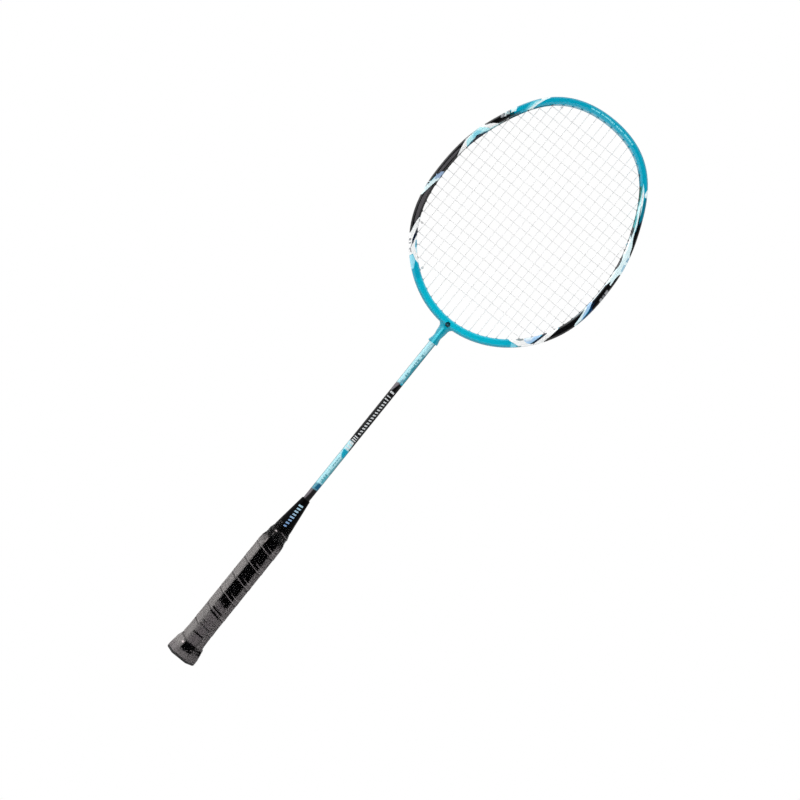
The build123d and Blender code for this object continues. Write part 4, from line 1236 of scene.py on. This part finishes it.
# clear bars in the film's bloom: z, left x, right x, thickness, slope, strength
FILM_BARS = (
    (58.4, -6.2, 8.2, 2.0, -0.19, 1.0), (54.2, -5.8, 8.2, 2.5, -0.17, 1.0),
    (43.0, -5.6, 0.8, 1.5, -0.05, 0.6), (38.4, -5.6, 8.0, 1.7, -0.18, 0.85),
    (28.9, -5.4, 6.2, 2.1, -0.03, 0.95), (22.4, -6.4, -2.0, 1.2, -0.5, 0.4),
)
# painted highlights over the shoulder and the flare: x, z, radius in x, radius in z, strength
FILM_HIGHLIGHTS = (
    (-6.6, 14.6, 1.8, 1.5, 0.55), (-5.4, 141.5, 0.9, 4.4, 0.30), (-3.6, 154.5, 1.7, 1.2, 0.34),
    (-4.2, 150.5, 0.8, 2.4, 0.12), (3.4, 156.0, 1.6, 0.8, 0.12), (6.6, 151.0, 0.8, 2.6, 0.08),
    (-4.6, 165.6, 1.4, 1.8, 0.08), (5.2, 12.6, 1.5, 0.5, 0.16), (2.4, 10.6, 1.2, 0.5, 0.10),
)


def film_bar(x, z, height, left, right, thick, slope, share):
    level = z + x * -slope
    return level.window(height - thick / 2, height + thick / 2, 0.7) * x.window(left, right, 1.2) * share


# one painted highlight, an oval spot of light
def film_highlight(x, z, spot_x, spot_z, radius_x, radius_z, share):
    across, up = (x - spot_x) / radius_x, (z - spot_z) / radius_z
    return x.graph.calc("SQRT", across * across + up * up).rise(1.25, 0.2) * share


def film_finish():
    """Clear film: dull bloom where it stands off the grip, painted sheen on the slanted facets, painted
    highlights and painted shade, and a gloss where it catches the light.
    """
    material, graph = new_material("clear_film_hazy")
    place = graph.place()
    x, y, z = graph.split(place)
    cloud = graph.noise(graph.stretch(place, (1.0, 1.0, 0.55)), scale=0.16, detail=4.0, rough=0.6,
                        distortion=0.5)
    fine = graph.noise(place, scale=0.9, detail=4.0, rough=0.65)
    streak = graph.noise(graph.stretch(place, (0.5, 0.5, 2.4)), scale=0.25, rough=0.6)
    mottle = graph.noise(graph.stretch(place, (1.0, 1.0, 0.8)), scale=0.30, detail=2.0, rough=0.5)

    # turns round the handle from the left edge, height above a seam, distance to the nearest
    around = graph.calc("ARCTAN2", y * -1.0, x * -1.0) / (2 * math.pi)
    turn = (z - WRAP_START) / WRAP_PITCH + (around - WRAP_PHASE)
    above = graph.calc("FRACT", turn + 20.0) * WRAP_PITCH
    near = least(above, WRAP_PITCH - above)

    # painted sheen on the slanted facets, and bloom on the flat ones only towards the butt
    side = (abs(x) - x.rise(1.0, -1.0) * -1.6).rise(5.9, 7.9)
    flat_facets = 1.0 - side
    low = mottle.times_plus(22.0, z).rise(79.0, 71.0) * mottle.times_plus(5.0, z).rise(18.5, 21.5)
    foot = mottle.times_plus(4.0, z).rise(12.0, 9.0)
    bars = most(*[film_bar(x, z, *bar) for bar in FILM_BARS])
    flat_haze = most(low, foot) * (1.0 - bars * 0.97)
    bloom_and_sheen = flat_facets * (flat_haze * 0.058) + side * near.rise(1.3, 0.5).times_plus(-0.03, 0.082)
    bloom_and_sheen = bloom_and_sheen * cloud.times_plus(0.7, 0.65)
    bloom_and_sheen = bloom_and_sheen * mottle.times_plus(9.0, z).rise(153.0, 141.0)
    # painted shadow under each lip of the strip, and painted shade to the right
    lip = above.window(16.9, 18.7, 0.6) * side
    bloom_and_sheen = bloom_and_sheen * (1.0 - lip * 0.6)
    bloom_and_sheen = bloom_and_sheen * (1.0 - x.rise(4.0, 7.0) * 0.50)
    # a dark patch over the flare, where the film clings
    patch = z.window(10.0, 17.5, 2.0) * mottle.times_plus(5.0, x).rise(-3.0, 0.5)
    bloom_and_sheen = bloom_and_sheen * (1.0 - patch * streak.rise(0.66, 0.44))

    # painted highlights: fine pale lines along the lips of the strip
    reach = most(z.rise(64.0, 70.0), side * z.rise(18.0, 24.0)) * z.rise(150.0, 140.0)
    second = above.window(4.2, 4.9, 0.4) * x.rise(0.0, 4.0) * z.rise(66.0, 70.0)
    bloom_and_sheen = bloom_and_sheen + most(near.rise(0.75, 0.25) * reach, second) * 0.075

    # the bloom and painted sheen cover well but are grey, and only the painted highlight spots, on the
    # front, are pale
    highlights = most(*[film_highlight(x, z, *spot) for spot in FILM_HIGHLIGHTS]) * (y < 0.0)
    cover = least(most(bloom_and_sheen * 6.5, highlights * 1.6), 0.92)
    # the bloom's tone is lighter on the left, as painted light from the left, grey to the right and at the
    # foot, and pale in the painted highlights
    tone = graph.mix(x.rise(-7.0, 0.0), graph.mix(fine, rgb(145, 141, 140), rgb(154, 150, 149)),
                     graph.mix(fine, rgb(113, 107, 110), rgb(123, 117, 119)))
    tone = graph.mix(most(x.rise(3.0, 8.0), z.rise(12.0, 8.0)), tone, rgb(138, 133, 134))
    tone = graph.mix(highlights.rise(0.04, 0.5), tone, rgb(220, 208, 208))
    body = graph.mix_shaders(cover, graph.node("ShaderNodeBsdfTransparent"),
                             graph.node("ShaderNodeBsdfDiffuse", {"Color": tone}))

    normal = graph.bump(streak + fine * 0.3, strength=0.20, distance=0.0006)
    shine = graph.node("ShaderNodeBsdfGlossy", {
        "Color": (1, 0.99, 0.98, 1), "Roughness": fine.times_plus(0.14, 0.14), "Normal": normal})
    fresnel = graph.node("ShaderNodeFresnel", {"IOR": 1.33, "Normal": normal})
    # only the outward faces shine, so the thin skin is not lit twice
    outward_face = 1.0 - graph.node("ShaderNodeNewGeometry", output="Backfacing")
    graph.output(graph.mix_shaders(fresnel * 0.12 * outward_face, body, shine))
    return material


# ------------------------------------------------------------- dress and build
def dress(material, *nodes):
    """Gives CAD nodes their material."""
    for node in nodes:
        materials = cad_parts[node].data.materials
        materials.clear()
        materials.append(material)


dress(hoop_paint(), "head_frame")
dress(shaft_paint(), "shaft")
dress(cone_paint(), "cone_cap")
dress(plain("joint_resin_cast", rgb(42, 42, 44), rgb(58, 57, 56), rough=0.5, scale=0.5), "t_joint")
dress(plain("handle_wood_grain", rgb(196, 158, 110), rgb(160, 120, 76), rough=0.6, scale=0.5,
            bump=0.2, distance=0.0003, stretch=(3, 3, 0.12)), "handle_core")
dress(plain("butt_plastic_black", rgb(16, 16, 17), rgb(30, 29, 30), rough=0.42, scale=0.9,
            bump=0.2, distance=0.0003), "butt_cap")
dress(plain("butt_disc_plastic", rgb(20, 20, 22), rgb(34, 34, 36), rough=0.34, scale=0.7,
            distance=0.0003), "butt_disc")
dress(plain("adhesive_layer", rgb(196, 190, 172), rgb(214, 208, 190), rough=0.5, scale=0.8),
      "grip_adhesive")
dress(plain("tape_vinyl_black", rgb(12, 12, 13), rgb(20, 19, 20), rough=0.3, scale=0.8,
            bump=0.3, distance=0.0003, specular=0.05, stretch=(1, 1, 0.3)), "finishing_tape")
dress(plain("staple_steel_wire", rgb(176, 178, 180), rgb(140, 142, 146), rough=0.3, scale=2.0,
            bump=0.2, distance=0.0001, metal=1.0), "grip_staple")
dress(plain("grommet_nylon_teal", rgb(6, 132, 154), rgb(10, 150, 172), rough=0.42, scale=1.5,
            distance=0.0001, span=0.15), "grommets_crown", "grommets_lower", "grommets_throat")
dress(plain("grommet_nylon_black", rgb(18, 18, 20), rgb(30, 30, 32), rough=0.42, scale=1.5,
            distance=0.0001, span=0.15), "grommets_left", "grommets_right", "grommets_shared")

string_material = string_finish()
for family in ("main", "cross"):
    add_mesh(f"woven_{family}_string", f"{family}_string",
             *tube_mesh([bend_corners(string_line(family))], STRING_R), string_material, "string_nylon")
for family in ("main", "cross"):
    add_mesh(f"tied_{family}_knots", f"{family}_knots",
             *tube_mesh(knot_lines(family), STRING_R * 0.94), string_material, "string_nylon")
add_mesh("wrapped_grip", "base_grip", *grip_mesh(), grip_finish(), "grip_pu")
add_mesh("crinkled_film", "grip_film", *film_mesh(), film_finish(), "clear_film")


# ----------------------------------------------------- floor, light and camera
def add_floor():
    """A floor that the camera sees as pure white and that lights as pale grey."""
    half = FLOOR_HALF
    mesh = bpy.data.meshes.new("floor")
    mesh.from_pydata([(-half, -half, 0), (half, -half, 0), (half, half, 0), (-half, half, 0)],
                     [], [(0, 1, 2, 3)])
    floor = bpy.data.objects.new("floor", mesh)
    bpy.context.scene.collection.objects.link(floor)
    floor.location = (0, 0, FLOOR_Z)
    material, graph = new_material("floor_white")
    diffuse = graph.node("ShaderNodeBsdfDiffuse", {"Color": (0.8, 0.8, 0.8, 1)})
    glow = graph.node("ShaderNodeEmission", {"Color": (1, 1, 1, 1), "Strength": 1.0})
    graph.output(graph.for_camera(diffuse, glow))
    mesh.materials.append(material)


def add_world():
    """Soft boxes left, right and above; the camera sees plain white."""
    world = bpy.data.worlds.new("studio")
    bpy.context.scene.world = world
    world.use_nodes = True
    graph = Graph(world.node_tree)
    x, y, z = graph.split(graph.node("ShaderNodeTexCoord", output="Generated"))
    left_box = x.rise(-0.42, -0.62) * 2.3
    right_box = x.rise(0.62, 0.86) * 1.1
    top_box = z.rise(0.45, 0.8) * 1.5
    # dark straight in front and straight behind, so flat faces stay deep in colour
    dim = abs(y).rise(0.86, 0.97) * 0.09
    strength = most(most(left_box, right_box), most(top_box, 0.11 - dim)) * 1.02
    light, plain_white = [
        graph.node("ShaderNodeBackground", {"Color": (1, 1, 1, 1), "Strength": level})
        for level in (strength, 1.0)]
    graph.output(graph.for_camera(light, plain_white), "ShaderNodeOutputWorld")


def add_camera():
    """A camera in front, looking along +Y and rolled about its own axis."""
    data = bpy.data.cameras.new("camera")
    camera = bpy.data.objects.new("camera", data)
    bpy.context.scene.collection.objects.link(camera)
    data.sensor_width = SENSOR_WIDTH
    data.lens = SENSOR_WIDTH * CAMERA_DISTANCE / VIEW_WIDTH
    data.clip_start = 0.05
    data.clip_end = 50.0
    cos, sin = math.cos(CAMERA_ROLL), math.sin(CAMERA_ROLL)
    camera.matrix_world = Matrix((
        (sin, -cos, 0.0, CAMERA_AIM[0]),
        (0.0, 0.0, -1.0, -CAMERA_DISTANCE),
        (cos, sin, 0.0, CAMERA_AIM[1]),
        (0.0, 0.0, 0.0, 1.0),
    ))
    bpy.context.scene.camera = camera


add_floor()
add_world()
view = bpy.context.scene.view_settings
view.view_transform = "Standard"
view.look = "None"
view.exposure = 0.0
view.gamma = 1.0
add_camera()
